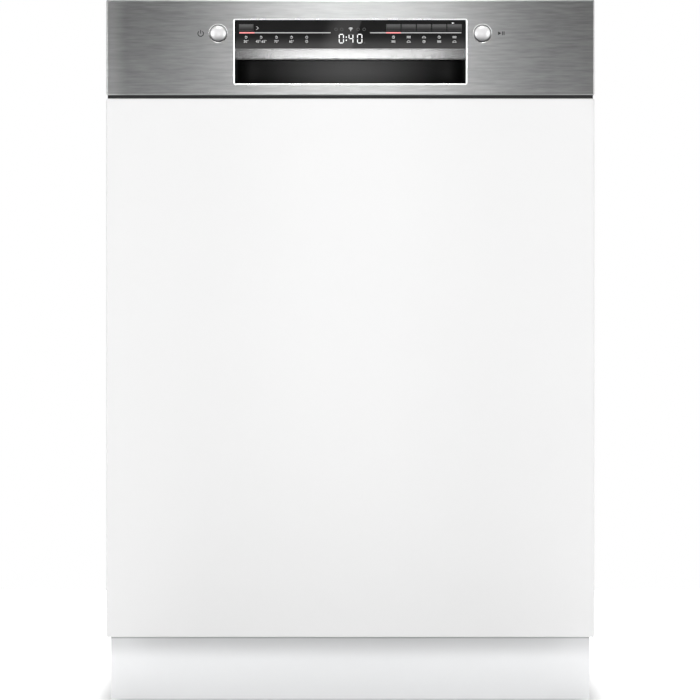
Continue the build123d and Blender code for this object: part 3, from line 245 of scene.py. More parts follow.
# %% Lamps: name, place, target, width, height and watts
for name, place, target, width, height, watts in (
        ("overhead_box", (0, -1.5, 2.9), (0, -0.3, 0.5), 0.9, 1.4, 27),
        ("left_box", (-2.4, -2.9, 0.8), (0, -0.2, 0.5), 1.2, 1.4, 31),
        ("right_box", (2.4, -2.9, 0.8), (0, -0.2, 0.5), 1.2, 1.4, 31),
        ("back_box", (0, 2.4, 2.4), (0, 0.2, 0.4), 3.0, 1.4, 40),
        ("camera_lamp", (0, -4.35, 0.50), (0, -0.28, 0.75), 0.28, 0.30, 9.3)):
    lamp = bpy.data.lights.new(name, "AREA")
    lamp.shape = "RECTANGLE"
    lamp.size, lamp.size_y, lamp.energy = width, height, watts
    hung = bpy.data.objects.new(name, lamp)
    hung.location = place
    hung.rotation_euler = (Vector(target) - Vector(place)).to_track_quat("-Z", "Y").to_euler()
    stage.collection.objects.link(hung)
    print(f"{name}: {watts} W")

# %% [markdown]
# ## The fascia's finishes
# Brushed stainless steel is scratched along its length, so its highlight stretches upright, across
# the scratches. Principled's Anisotropic option does that, with a quarter turn. The scratches are
# noise with short cells upright and long ones sideways. The sheet's colour is painted brighter
# towards its middle and its top, a painted highlight, and its turned end carries a painted glint.

# %% Brushed steel, satin trim and pearl buttons
brush_turn = 0.25
steel_low, steel_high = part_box("control_fascia")
button_low, button_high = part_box("power_button")


@finish
def face_steel(shader):
    hair, bands = cloud(shader, (42, 330, 440)), cloud(shader, (3, 60, 160))
    side = along(shader, "X")
    # Painted light in the colour: middle is a painted highlight down the sheet's middle, upper makes it
    # brighter towards the top, (1 - upper) lifts the sides lower down, and the turned left end carries
    # a painted glint.
    middle = hill(shader, side, -0.243, -0.020, 0.025, 0.257)
    upper = rise(shader, along(shader, "Z"), steel_low.z, steel_high.z)
    painted_end_glint = 1 - rise(shader, side, -0.295, -0.272)
    shade = middle * 0.32 + middle * upper * 0.34 + (1 - upper) * 0.06 + painted_end_glint * 0.25
    shade = shade + hair * 0.32 + bands * 0.06 - 0.023
    tint = (1, 1.005, 1)
    return {"Base Color": tones(shader, shade, grey(0.20, tint), grey(0.86, tint)),
            "Metallic": 1.0, "Roughness": 0.300 + hair * 0.014, "Anisotropic": 0.6,
            "Anisotropic Rotation": brush_turn}


@finish
def trim_silver(shader):
    hair = cloud(shader, (10, 900, 900))
    # lit is a painted highlight: the bar's colour is brighter across its middle, where a lamp is
    # reflected.
    lit = hill(shader, along(shader, "X"), -0.136, -0.084, 0.094, 0.140)
    return {"Base Color": tones(shader, lit * 0.97 + hair * 0.03, grey(0.15), grey(0.325)),
            "Metallic": 1.0, "Roughness": 0.24 + hair * 0.04, "Anisotropic": 0.8,
            "Anisotropic Rotation": brush_turn}


@finish
def pearl_silver(shader):
    flakes = cloud(shader, 1800, detail=1)
    # Painted shade: the cap's colour runs from dark at its foot to bright at its top, as light from
    # above falls.
    painted_shade_height = (button_high.z - button_low.z) * 0.62
    upper = rise(shader, along(shader, "Z"), button_low.z, button_low.z + painted_shade_height)
    return {"Base Color": tones(shader, upper * 0.97 + flakes * 0.03, grey(0.09), grey(0.98)),
            "Metallic": 0.35, "Roughness": 0.32 + flakes * 0.06, "Coat Weight": 0.3,
            "Coat Roughness": 0.15}


edge_steel = even("edge_steel", 60, (0.80, 0.86), 0.24, 0.08, Metallic=1.0)
print("metals of the fascia ready")

# %% [markdown]
# The display strip is a clear sheet over black. Its colour is a little lighter along its lower
# edge, a painted reflection, and lighter in a slanting band round the digits. The keys' colour is
# painted lighter towards their tops and the pocket's in its middle, painted light. The inks follow.
# An ink that glows is the lit part of the display.

# %% Smoked lens, keys, grip pocket and inks
glass_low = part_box("display_lens")[0].z
key_low, key_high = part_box("program_key")


@finish
def lens_black(shader):
    height, side = along(shader, "Z"), along(shader, "X")
    # Painted reflection: lower makes the colour lighter along the lower edge. window makes it lighter
    # in a slanting band round the digits.
    lower = 1 - rise(shader, height, glass_low - 0.001, glass_low + 0.016)
    window = hill(shader, side + (height - glass_low) * -0.35, -0.044, -0.020, 0.0005, 0.0035)
    cells = cloud(shader, 30, detail=1)
    shade = lower * 0.5 + window * 0.32 + cells * 0.03
    return {"Base Color": tones(shader, shade, grey(0.012), grey(0.12, (1, 0.98, 0.98))),
            "Roughness": 0.12 + cells * 0.03, "Specular IOR Level": 0.35}


@finish
def key_grey(shader):
    # Painted light: the cap's colour is lighter towards its top, as if lit from above.
    shade = rise(shader, along(shader, "Z"), key_low.z, key_high.z + 0.0015)
    return {"Base Color": tones(shader, shade, grey(0.008), grey(0.115)),
            "Roughness": 0.34 + cloud(shader, 2500, detail=1) * 0.08, "Specular IOR Level": 0.4}


@finish
def pocket_black(shader):
    grain = cloud(shader, 3000)
    # Painted sheen: the pocket's colour is lighter in its middle, where a lamp's reflection falls.
    middle = hill(shader, along(shader, "X"), -0.125, 0.0, 0.0, 0.125)
    return {"Base Color": tones(shader, middle, grey(0.003), grey(0.13)),
            "Roughness": 0.45 + grain * 0.10, "Specular IOR Level": 0.16,
            "Normal": bumped(shader, grain, 0.00004, 0.4)}


def ink(name, level, glow=0.0, tint=(1, 1, 1)):
    def build(shader):
        dots = cloud(shader, 4000, detail=0)
        colour = tones(shader, dots, grey(level * 0.94, tint), grey(level, tint))
        return {"Base Color": colour, "Roughness": 0.45 + dots * 0.1, "Emission Color": colour,
                "Emission Strength": glow}

    return finish(build, name)


ink_grey = ink("ink_grey", 0.40, glow=0.35)
ink_pale = ink("ink_pale", 0.62, glow=0.35)
ink_dark = ink("ink_dark", 0.018)
ink_unlit = ink("ink_unlit", 0.085)
lit_white = ink("lit_white", 0.80, glow=0.75)
lit_red = ink("lit_red", 0.86, glow=0.45, tint=(1, 0.33, 0.34))
print("display finishes ready")

# %% [markdown]
# ## Finishes for the rest of the machine
# The white front is lacquered board. Its colour is painted a little darker towards its sides and
# along its rims, painted shade. The plinth stands back under it, and its painted shadow, a dim band
# and a dark line under the front, is worked out from the line of sight. Each of the others is one
# real surface.

# %% Lacquer, plastics and rubber
front_low, plinth_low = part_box("furniture_panel")[0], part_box("plinth_panel")[0]
eye = camera.location
slope = (eye.z - front_low.z) / (front_low.y - eye.y)
seen_top = front_low.z - slope * (plinth_low.y - front_low.y)
print("the plinth shows below", round(seen_top * 1000, 1), "mm")


@finish
def panel_white(shader):
    peel, mottle, side = cloud(shader, 420, detail=1), cloud(shader, 5), along(shader, "X")
    # Painted shade: middle keeps the colour lighter across the middle and darker towards the sides, and
    # the rims are painted darker.
    middle = hill(shader, side, -0.20, -0.02, 0.02, 0.20)
    painted_rim_shade = 2 - rise(shader, side, -0.299, -0.293) - (1 - rise(shader, side, 0.293, 0.299))
    shade = mottle * 0.15 + middle * 0.5 + 0.25 - painted_rim_shade * 0.25
    return {"Base Color": tones(shader, shade, grey(0.79), grey(0.855)),
            "Roughness": 0.42 + peel * 0.06, "Specular IOR Level": 0.35,
            "Normal": bumped(shader, peel, 0.00001, 0.3)}


@finish
def plinth_white(shader):
    mottle, height = cloud(shader, 5), along(shader, "Z")
    # Painted shadow: the colour darkens in a band below the front's lower edge, and line is a darker
    # painted line right under it.
    painted_shadow_band = rise(shader, height, seen_top - 0.030, seen_top - 0.003)
    line = rise(shader, height, seen_top - 0.0022, seen_top - 0.0006)
    tint = (0.985, 0.992, 1)
    shade = mottle * 0.02 + painted_shadow_band * 0.28 + line * 0.5
    return {"Base Color": tones(shader, shade, grey(0.985, tint), grey(0.30, tint)),
            "Roughness": 0.42 + mottle * 0.06, "Specular IOR Level": 0.35}


def moulded(name, level, gloss, tint=(1, 1, 1)):
    def build(shader):
        grain, mottle = cloud(shader, 1600), cloud(shader, 18)
        return {"Base Color": tones(shader, mottle, grey(level * 0.93, tint), grey(level * 1.04, tint)),
                "Roughness": gloss + grain * 0.1, "Normal": bumped(shader, grain, 0.00003, 0.35)}

    return finish(build, name)


cool = (0.98, 1, 1.02)
carrier_black = moulded("carrier_black", 0.017, 0.45)
black_plastic = moulded("black_plastic", 0.025, 0.4)
grey_plastic = moulded("grey_plastic", 0.20, 0.42, cool)
light_plastic = moulded("light_plastic", 0.55, 0.36, cool)
white_plastic = moulded("white_plastic", 0.78, 0.34, (1, 1, 0.99))
blue_plastic = moulded("blue_plastic", 0.42, 0.36, (0.22, 0.5, 1.0))
black_rubber = even("black_rubber", 900, (0.018, 0.045), 0.62, 0.15, detail=3, bump=(0.00006, 0.5))
print("lacquer, plastics and rubber ready")

# %% [markdown]
# The tub is rolled stainless steel, the outer sheets are zinc coated and show its flakes, and the
# filter plate is pierced by fine holes. A pattern node draws each of these better than noise does.
# The holes are not cut: they are dark spots, painted shade.

# %% Sheet metals and coated wire
@finish
def tub_steel(shader):
    roll, broad = cloud(shader, (6, 700, 700)), cloud(shader, 4)
    return {"Base Color": tones(shader, roll * 0.6 + broad * 0.4, grey(0.66), grey(0.76)),
            "Metallic": 0.72, "Roughness": 0.30 + roll * 0.08,
            "Normal": bumped(shader, broad, 0.0006, 0.12)}


@finish
def zinc_sheet(shader):
    flakes = shader.node("TexVoronoi", {"Vector": stretched(shader, (1, 1, 1)), "Scale": 95.0,
                                        "Randomness": 1.0}, output=1)
    tone = shader.node("SeparateColor", {0: flakes})
    return {"Base Color": tones(shader, tone, grey(0.50), grey(0.60, (0.99, 1, 1.01))),
            "Metallic": 0.9, "Roughness": 0.42 + tone * 0.10}


@finish
def board_green(shader):
    tracks = shader.node("TexBrick", {
        "Vector": stretched(shader, (1, 0, 1)), "Scale": 60.0, "Mortar Size": 0.06,
        "Color1": (0.006, 0.06, 0.03, 1), "Color2": (0.008, 0.09, 0.04, 1),
        "Mortar": (0.02, 0.16, 0.07, 1)}, offset=0.5)
    return {"Base Color": tracks, "Roughness": 0.35}


@finish
def sieve_steel(shader):
    dots = shader.node("TexVoronoi", {"Vector": stretched(shader, (1, 1, 0)), "Scale": 420.0,
                                      "Randomness": 0.0})
    # Painted shade: each hole is a dark spot in the colour, not an opening.
    hole = 1 - rise(shader, dots, 0.26, 0.32)
    return {"Base Color": tones(shader, hole, grey(0.62), grey(0.02)),
            "Metallic": 1 - hole * 0.8, "Roughness": 0.28 + hole * 0.4,
            "Normal": bumped(shader, 1 - hole, 0.0003, 0.6)}


hinge_steel = even("hinge_steel", 300, (0.40, 0.52), 0.34, 0.12, detail=3, Metallic=1.0)
wire_coat = even("wire_coat", 700, (0.30, 0.36), 0.33, 0.1, (0.97, 1, 1.04), bump=(0.00004, 0.3))
print("metals, wire and board ready")

# %% [markdown]
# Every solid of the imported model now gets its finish, whether it is hidden behind a finer mesh
# later or stays as it is. The list goes by the finish, as a parts list would.

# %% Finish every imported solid
keys = ["program_key"] + [f"option_key_{i}" for i in range(1, 6)]
feet = ["front_left_foot", "front_right_foot", "rear_foot"]
finish_of_nodes = {
    panel_white: ["furniture_panel"],
    plinth_white: ["plinth_panel"],
    face_steel: ["control_fascia"],
    carrier_black: ["fascia_carrier", "door_latch"],
    lens_black: ["display_lens"],
    trim_silver: ["handle_trim"],
    pearl_silver: ["power_button", "start_button"],
    key_grey: keys,
    pocket_black: ["handle_pocket"],
    tub_steel: ["tub", "inner_door_panel", "upper_rails_fixed", "upper_rails_sliding"],
    zinc_sheet: ["side_panels", "rear_panel", "top_panel", "outer_door_panel",
                 "worktop_brackets", "latch_striker"],
    hinge_steel: ["hinge_arms", "hinge_brackets", "door_springs"],
    black_rubber: ["tub_seal"],
    wire_coat: ["upper_basket", "lower_basket", "folding_tines"],
    light_plastic: ["lower_spray_arm", "upper_spray_arm", "top_spray_arm", "upper_feed_pipe",
                    "riser_pipe", "front_basket_wheels", "rear_basket_wheels", "cutlery_basket",
                    "cup_shelf"],
    grey_plastic: ["dispenser_body", "filter_cylinder", "base_tray", "drain_outlet",
                   "mains_terminal"],
    black_plastic: ["sump", "circulation_pump", "drain_pump"] + feet,
    white_plastic: ["water_softener", "inlet_valve", "salt_cap", "dispenser_lid"],
    blue_plastic: ["rinse_aid_cap"],
    board_green: ["control_board"],
    sieve_steel: ["filter_plate"],
}
for material, names in finish_of_nodes.items():
    for name in names:
        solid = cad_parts[name]
        solid.data.materials.clear()
        solid.data.materials.append(material)
print("finished solids:", sum(len(names) for names in finish_of_nodes.values()))

# %% [markdown]
# ## Tools for meshes
# Every piece below is a mesh written in code, in metres and at its real place. A shape is a pair of
# lists, its points and its faces. `add_piece` joins shapes, turns their faces outwards, shades them
# smooth except at sharp edges, and lets the piece ride on its body. If it stands for a packed
# solid, that solid is hidden.

# %% From shapes to a piece that rides
MM = 0.001


def joined(*shapes):
    """Several (points, faces) as one."""
    points, faces = [], []
    for more_points, more_faces in shapes:
        start = len(points)
        points += [Vector(p) for p in more_points]
        faces += [[start + i for i in face] for face in more_faces]
    return points, faces


def plain_mesh(shape):
    mesh = bpy.data.meshes.new("shape")
    mesh.from_pydata([tuple(p) for p in shape[0]], [], [tuple(f) for f in shape[1]])
    return mesh


def facing_out(mesh):
    """The mesh with every face turned outwards, as Blender's own recalculation finds them."""
    work = bmesh.new()
    work.from_mesh(mesh)
    bmesh.ops.remove_doubles(work, verts=work.verts, dist=1e-7)
    bmesh.ops.recalc_face_normals(work, faces=work.faces)
    work.to_mesh(mesh)
    work.free()
    return mesh


def add_piece(name, shapes, material, body, stands_for=(), crease=32):
    """A piece from a list of shapes, or from a mesh that is ready."""
    ready = isinstance(shapes, bpy.types.Mesh)
    mesh = shapes if ready else facing_out(plain_mesh(joined(*shapes)))
    mesh.name = name
    mesh.materials.clear()
    mesh.materials.append(material)
    mesh.validate()
    mesh.polygons.foreach_set("use_smooth", [True] * len(mesh.polygons))
    mesh.set_sharp_from_angle(angle=math.radians(crease))
    piece = bpy.data.objects.new(name, mesh)
    stage.collection.objects.link(piece)
    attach(piece, body)
    if stands_for:
        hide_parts(*stands_for)
    return piece


print("pieces can be made")

# %% [markdown]
# Outlines are lists of points in a plane. A rounded rectangle and a circle cover most moulded and
# pressed pieces. They are laid into space standing, lying or sideways, and a loft puts a skin over
# a row of them. A lathe piece is a loft too, over circles.

# %% Outlines, lofts and lathe pieces
def mm(*pairs):
    """Pairs written in millimetres, as metres."""
    return [(first * MM, second * MM) for first, second in pairs]


def circle(middle, radius, steps=32):
    angles = [2 * math.pi * i / steps for i in range(steps)]
    return [(middle[0] + radius * math.cos(a), middle[1] + radius * math.sin(a)) for a in angles]


def round_rect(low, high, radius, steps=6):
    """Anticlockwise points of a rectangle with round corners, in a plane."""
    corners = [(high[0] - radius, low[1] + radius, -90), (high[0] - radius, high[1] - radius, 0),
               (low[0] + radius, high[1] - radius, 90), (low[0] + radius, low[1] + radius, 180)]
    points = []
    for x, y, start in corners:
        for i in range(steps + 1):
            angle = math.radians(start + 90 * i / steps)
            points.append((x + radius * math.cos(angle), y + radius * math.sin(angle)))
    return points


def inset(outline, amount):
    """The outline shrunk by an amount, each point along its corner's middle line."""
    shrunk = []
    for i in range(len(outline)):
        before, here, after = (Vector(outline[(i + k) % len(outline)]) for k in (-1, 0, 1))
        first, second = (here - before).normalized(), (after - here).normalized()
        inward = Vector((-first.y - second.y, first.x + second.x))
        if inward.length < 1e-9:
            inward = Vector((-first.y, first.x))
        inward.normalize()
        share = max(0.35, inward.dot(Vector((-first.y, first.x))))
        shrunk.append(tuple(here + inward * amount / share))
    return shrunk


def standing(outline, y):
    return [Vector((x, y, z)) for x, z in outline]


def lying(outline, z):
    return [Vector((x, y, z)) for x, y in outline]


def sideways(outline, x):
    return [Vector((x, y, z)) for y, z in outline]


def loft(rings, closed_ends=True):
    """A skin over rings of equally many points."""
    count = len(rings[0])
    points = [p for ring in rings for p in ring]
    faces = []
    for low in range(0, len(points) - count, count):
        for i in range(count):
            j = (i + 1) % count
            faces.append([low + i, low + j, low + count + j, low + count + i])
    if closed_ends:
        faces.append(list(range(count))[::-1])
        faces.append([len(points) - count + i for i in range(count)])
    return points, faces


def hoop(rings):
    """A loft whose last ring joins its first."""
    return loft(rings + rings[:1], closed_ends=False)


def moved(shape, offset, turn):
    """The shape turned about the origin, then shifted."""
    return [turn @ Vector(p) + Vector(offset) for p in shape[0]], shape[1]


def facing_turn(facing):
    return Vector((0, 0, 1)).rotation_difference(Vector(facing)).to_matrix()


def turned(profile, steps, place, facing=(0, 0, 1), skin=loft):
    """A lathe piece: (radius, height) pairs turned about an axis that points along `facing`."""
    rings = [lying(circle((0, 0), radius, steps), height) for radius, height in profile]
    return moved(skin(rings), place, facing_turn(facing))


def ring_of(profile, steps, place, facing=(0, 0, 1)):
    """Like `turned`, but the profile is a closed loop that doesn't reach the axis."""
    return turned(profile, steps, place, facing, skin=hoop)


print("outlines and lofts ready")

# %% [markdown]
# `slab` gives an outline a thickness and a soft edge: two inset rings at the front and two at the
# back, which is how a real edge catches the light. A pierced plate is one flat curve with a
# spline for each outline, since Blender fills the area between them.

# %% Slabs, blocks and pierced plates
def slab(outline, front, back, edge, lay=standing):
    """A plate between two planes with softened edges."""
    flat, soft, mild = (inset(outline, edge * share) for share in (1.5, 1.0, 0.3))
    step = edge if back > front else -edge
    levels = [(flat, front), (soft, front), (mild, front + step * 0.3), (outline, front + step),
              (outline, back - step), (mild, back - step * 0.3), (soft, back), (flat, back)]
    return loft([lay(points, level) for points, level in levels])


def box_slab(low, high, edge, corner, lay=standing):
    """A rounded block between two opposite corners."""
    across, up, depth = (0, 2, 1) if lay is standing else (0, 1, 2)
    outline = round_rect((low[across], low[up]), (high[across], high[up]), corner)
    return slab(outline, low[depth], high[depth], edge, lay)


def block(middle, size, edge, corner, lay=standing):
    """A rounded block by its middle and its size."""
    half = Vector(size) / 2
    return box_slab(Vector(middle) - half, Vector(middle) + half, edge, corner, lay)


stand_up = Matrix.Rotation(math.radians(90), 4, "X")


def stood(curve, place):
    """The mesh of a flat curve or text, stood upright at its place."""
    carrier = bpy.data.objects.new(curve.name, curve)
    mesh = bpy.data.meshes.new_from_object(carrier)
    bpy.data.objects.remove(carrier)
    mesh.transform(Matrix.Translation(place) @ stand_up)
    return mesh


def pierced_plate(outer, holes, front, back):
    flat = bpy.data.curves.new("plate", "CURVE")
    flat.dimensions = "2D"
    flat.fill_mode = "BOTH"
    flat.extrude = (back - front) / 2
    for outline in [outer] + holes:
        spline = flat.splines.new("POLY")
        spline.points.add(len(outline) - 1)
        for point, (x, z) in zip(spline.points, outline):
            point.co = (x, z, 0, 1)
        spline.use_cyclic_u = True
    return stood(flat, (0, (front + back) / 2, 0))


def as_shape(mesh):
    """A mesh as (points, faces), after which it isn't kept."""
    shape = [v.co.copy() for v in mesh.vertices], [list(p.vertices) for p in mesh.polygons]
    bpy.data.meshes.remove(mesh)
    return shape


def size_of(name):
    low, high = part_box(name)
    return [round(v * 1000) for v in high - low]


print("slabs and plates ready")

# %% [markdown]
# ## The steel fascia
# The real fascia is one sheet, punched and folded. Its window has a bright chamfer all round,
# where the punched edge was polished, and that lip is what outlines the controls. So the face is
# a pierced plate, the folds are one ring behind its edge, and the lip is a ring of its own that
# fills the hole's edge. The two round holes get the same chamfer, in miniature.

# %% Fascia sheet and folds
lens_low, lens_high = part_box("display_lens")
pocket_low, pocket_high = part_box("handle_pocket")
lip_width, lip_depth = 1.5 * MM, 2.6 * MM
face_y, fold_back = steel_low.y, steel_high.y
face_sheet, edge_turn = 1.0 * MM, 1.2 * MM
print_thickness = 0.1 * MM
insert_gap = 0.3 * MM
window_low = (lens_low.x - insert_gap, pocket_low.z + 0.9 * MM)
window_high = (lens_high.x + insert_gap, lens_high.z + insert_gap)
lip_outside = round_rect([v - lip_width for v in window_low],
                         [v + lip_width for v in window_high], 2.2 * MM)
buttons = {"power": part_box("power_button"), "start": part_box("start_button")}
button_places = {name: (low + high) / 2 for name, (low, high) in buttons.items()}
ring_r = 11.6 * MM
holes = [lip_outside] + [circle((p.x, p.z), ring_r, 48) for p in button_places.values()]
face_outline = round_rect((steel_low.x, steel_low.z), (steel_high.x, steel_high.z), 1.6 * MM)
front_y, sheet_back = face_y + print_thickness, face_y + face_sheet
face_plate = pierced_plate(inset(face_outline, edge_turn), holes, front_y, sheet_back)
add_piece("fascia_sheet", face_plate, face_steel, "door", ["control_fascia"])

fold_steps = [
    (edge_turn, front_y), (edge_turn * 0.6, front_y + edge_turn * 0.1),
    (edge_turn * 0.3, face_y + edge_turn * 0.35), (edge_turn * 0.08, face_y + edge_turn * 0.65),
    (0, face_y + edge_turn), (0, fold_back), (face_sheet, fold_back), (face_sheet, sheet_back)]
fold_rings = [standing(inset(face_outline, amount), y) for amount, y in fold_steps]
add_piece("fascia_folds", [loft(fold_rings, closed_ends=False)], face_steel, "door")
print("fascia:", size_of("control_fascia"), "mm")

# %% [markdown]
# The chamfers are rings with their own bright finish. They are cut a little behind the face, so
# that their outer edge never shares a plane with the sheet and flickers.

# %% Window lip and button rings
lip_steps = [(0, 0.02 * MM), (lip_width * 0.85, lip_depth * 0.19), (lip_width, lip_depth),
             (lip_width, lip_depth + 0.6 * MM), (0, face_sheet)]
lip_rings = [standing(inset(lip_outside, amount) if amount else lip_outside, face_y + depth)
             for amount, depth in lip_steps]
add_piece("window_lip", [hoop(lip_rings)], edge_steel, "door", crease=50)

inner_r = ring_r - 0.95 * MM
ring_profile = [(ring_r, 0), (ring_r - 0.35 * MM, -0.1 * MM), (inner_r, -1.3 * MM),
                (inner_r, -2.2 * MM), (ring_r, -1.0 * MM)]
for name, place in button_places.items():
    seat = (place.x, face_y + 0.02 * MM, place.z)
    add_piece(f"{name}_ring", [ring_of(ring_profile, 64, seat, (0, -1, 0))], edge_steel, "door",
              crease=50)
print("window:", [round(v, 4) for v in window_low + window_high])

# %% [markdown]
# ## Round buttons
# A round button is a turned cap, slightly domed, with a rolled edge and a skirt that slides in its
# sleeve. The dome shades the cap a little, and its colour carries painted shade, from bright at the top
# to dark at the bottom.

# %% Round buttons
dome = 3.6 * MM
for name, (low, high) in buttons.items():
    radius = (high.x - low.x) / 2
    profile = [(radius, -(high.y - low.y)), (radius, -dome - 0.6 * MM)]
    for angle in range(88, 0, -8):
        tilt = math.radians(angle)
        profile.append((radius * math.sin(tilt), -dome * (1 - math.cos(tilt))))
    profile.append((radius * 0.01, 0))
    middle = button_places[name]
    cap = turned(profile, 64, (middle.x, low.y, middle.z), (0, -1, 0))
    add_piece(f"{name}_cap", [cap], pearl_silver, f"{name}_button",
              [f"{name}_button"], crease=60)
print("round buttons:", round(radius * 2000, 1), "mm across")

# %% [markdown]
# ## Prints
# Printed lines, symbols and lit digits are thin solids, a tenth of a millimetre thick, laid on the
# face that carries them. Each symbol is built from straight bars, arcs and filled outlines.
# Places on the lens are written in millimetres, across from its middle and down from its top.

# %% Print shapes
lens_face = lens_low.y


def on_lens(across, down):
    return across * MM, lens_high.z - down * MM


def bar(start, end, width):
    """A flat bar between two points of the face, as an outline."""
    a, b = Vector(start), Vector(end)
    across = (b - a).normalized().orthogonal() * width / 2
    return [tuple(a + across), tuple(a - across), tuple(b - across), tuple(b + across)]


def arc(middle, radius, width, first=0, last=360, steps=14):
    """Short bars that follow an arc, in degrees anticlockwise from the right."""
    near, far = radius - width / 2, radius + width / 2
    outlines = []
    for i in range(steps):
        start, end = (math.radians(first + (last - first) * (i + k) / steps) for k in (0, 1))
        outlines.append([(middle[0] + r * math.cos(a), middle[1] + r * math.sin(a))
                         for r, a in ((near, start), (far, start), (far, end), (near, end))])
    return outlines


def print_on(name, outlines, material, y=lens_face):
    """Thin solids on the face at depth y, towards the front."""
    shapes = [loft([standing(o, y), standing(o, y - print_thickness)]) for o in outlines]
    add_piece(name, shapes, material, "door")


print("print shapes ready")

# %% [markdown]
# A thin line runs under each group of keys, and a red piece of it marks the key that is chosen. A
# small arrow and a hold mark stand above the line.

# %% Lines and markers on the lens
key_boxes = [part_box(name) for name in keys]
line_z = on_lens(0, 15.1)[1]
line_width, marker_width = 1.15 * MM, 1.15 * MM * 1.25
line_start, line_end = 24.2 * MM, lens_high.x - 5.3 * MM
red_end = -line_end + 18.6 * MM
marker_low, marker_high = key_boxes[1][0].x - 0.4 * MM, key_boxes[1][1].x + 0.4 * MM
for name, spans, width, material in (
        ("programme_line", [(red_end, -line_start)], line_width, ink_grey),
        ("programme_marker", [(-line_end, red_end)], marker_width, lit_red),
        ("option_line", [(line_start, marker_low), (marker_high, line_end)], line_width, ink_grey),
        ("option_marker", [(marker_low, marker_high)], marker_width, lit_red)):
    print_on(name, [bar((a, line_z), (b, line_z), width) for a, b in spans], material)

arrow_tip, arrow_width = on_lens(-112.6, 9.3), 0.5 * MM
print_on("key_arrow", [bar(on_lens(-115.2, 7.2), arrow_tip, arrow_width),
                       bar(arrow_tip, on_lens(-115.2, 11.4), arrow_width)], ink_pale)
print_on("hold_mark", [[on_lens(124.6, 4.0), on_lens(127.6, 3.2), on_lens(124.6, 2.5)]], lit_white)
print("lines:", round(line_end * 2000), "mm from end to end")

# %% [markdown]
# The time stands in seven-segment digits: each segment is a bar, and letters say which are lit.
# The dark segments are printed too, in a tone that only just shows.

# %% Digits on the lens
digit_down, digit_height = 27.6, 10.6
stroke, stroke_gap = 0.95, 0.95 * 0.62


def digit(left, width, segments):
    """Bars of a digit: t top, m middle, b bottom, p q upper sides and r s lower sides."""
    levels = {"t": digit_down - digit_height, "m": digit_down - digit_height / 2, "b": digit_down}
    sides = {"p": (left, "m"), "q": (left + width, "m"), "r": (left, "b"), "s": (left + width, "b")}
    bars = []
    for segment in segments:
        if segment in levels:
            down = levels[segment]
            ends = (left + stroke_gap, down), (left + width - stroke_gap, down)
        else:
            x, down = sides[segment][0], levels[sides[segment][1]]
            ends = (x, down - stroke_gap), (x, down - digit_height / 2 + stroke_gap)
        bars.append(bar(on_lens(*ends[0]), on_lens(*ends[1]), stroke * MM))
    return bars


def dot(across, down, radius):
    return circle(on_lens(across, down), radius * MM, 12)


lit = digit(-13.6, 5.2, "tbpqrs") + digit(-1.6, 4.8, "pqms") + digit(8.8, 5.4, "tbpqrs")
lit += [dot(-4.9, digit_down - digit_height * share, 0.8) for share in (0.32, 0.68)]
print_on("time_digits", lit, lit_white)
unlit = digit(-1.6, 4.8, "tbr") + [dot(-4.9, digit_down, 0.7), dot(17.4, digit_down, 0.8)]
print_on("unlit_segments", unlit, ink_unlit)
print("digits:", digit_height, "mm high")

# %% [markdown]
# Under the line stand plain temperatures and a few generic symbols. Blender's own font gives the
# numbers: a text object is turned into a mesh and stood on the lens. The symbols are drawn from
# arcs and bars, as a symbol designer would on a grid of three millimetres.

# %% Temperatures and symbols
row, symbol_row = 27.2, 21.8
thin = 0.42 * MM
temperature_x = (-127.9, -109.4, -90.6, -72.1)
words = []
for word, across in zip(["50°", "45°-65°", "70°", "65°"], temperature_x):
    text = bpy.data.curves.new("temperatures", "FONT")
    text.body = word
    text.size = 4.3 * MM
    text.align_x = "CENTER"
    text.extrude = print_thickness / 2
    x, z = on_lens(across, row)
    words.append(as_shape(stood(text, (x, lens_face - print_thickness / 2, z))))
add_piece("temperatures", plain_mesh(joined(*words)), ink_pale, "door")

symbols = arc(on_lens(-53.5, row - 1.5), 1.4 * MM, 0.45 * MM, steps=16)
symbols += arc(on_lens(-53.5, symbol_row - 1.2), 1.35 * MM, thin)
for x in temperature_x:
    middle = on_lens(x, symbol_row - 1.2)
    symbols += arc(middle, 1.35 * MM, thin, 200, 520)
    symbols.append(bar(middle, on_lens(x, symbol_row - 2.9), 0.45 * MM))
for number, (low, high) in enumerate(key_boxes[1:]):
    x = (low.x + high.x) / 2 / MM
    for lower, down in enumerate((symbol_row, row)):
        kind = (number + lower) % 3
        if kind == 0:  # a clock with two hands
            middle = on_lens(x, down - 1.3)
            symbols += arc(middle, 1.5 * MM, thin, steps=16)
            symbols += [bar(middle, on_lens(x, down - 2.3), thin),
                        bar(middle, on_lens(x + 0.9, down - 1.3), thin)]
        elif kind == 1:  # three level lines
            symbols += [bar(on_lens(x - 2.4, down - up), on_lens(x + 2.4, down - up), thin)
                        for up in (0.4, 1.35, 2.3)]
        else:  # a dome on a line
            symbols += arc(on_lens(x, down - 0.4), 2.0 * MM, thin, 0, 180)
            symbols.append(bar(on_lens(x - 2.4, down - 0.4), on_lens(x + 2.4, down - 0.4), thin))
print_on("small_symbols", symbols, ink_pale)

signal = [dot(0.5, 12.6, 0.5)]
for radius in (1.5, 2.6, 3.7):
    signal += arc(on_lens(0.5, 12.6), radius * MM, 0.62 * MM, 50, 130, steps=10)
print_on("signal_mark", signal, ink_pale)
faint = []
for x in (-17.5, -10.5, 9.5, 17.0):
    faint += arc(on_lens(x, 10.9), 1.7 * MM, 0.5 * MM)
print_on("unlit_marks", faint, ink_unlit)
print("symbols:", len(symbols), "bars")

# %% [markdown]
# Beside the round buttons the steel carries the usual on and start marks, in dark ink.

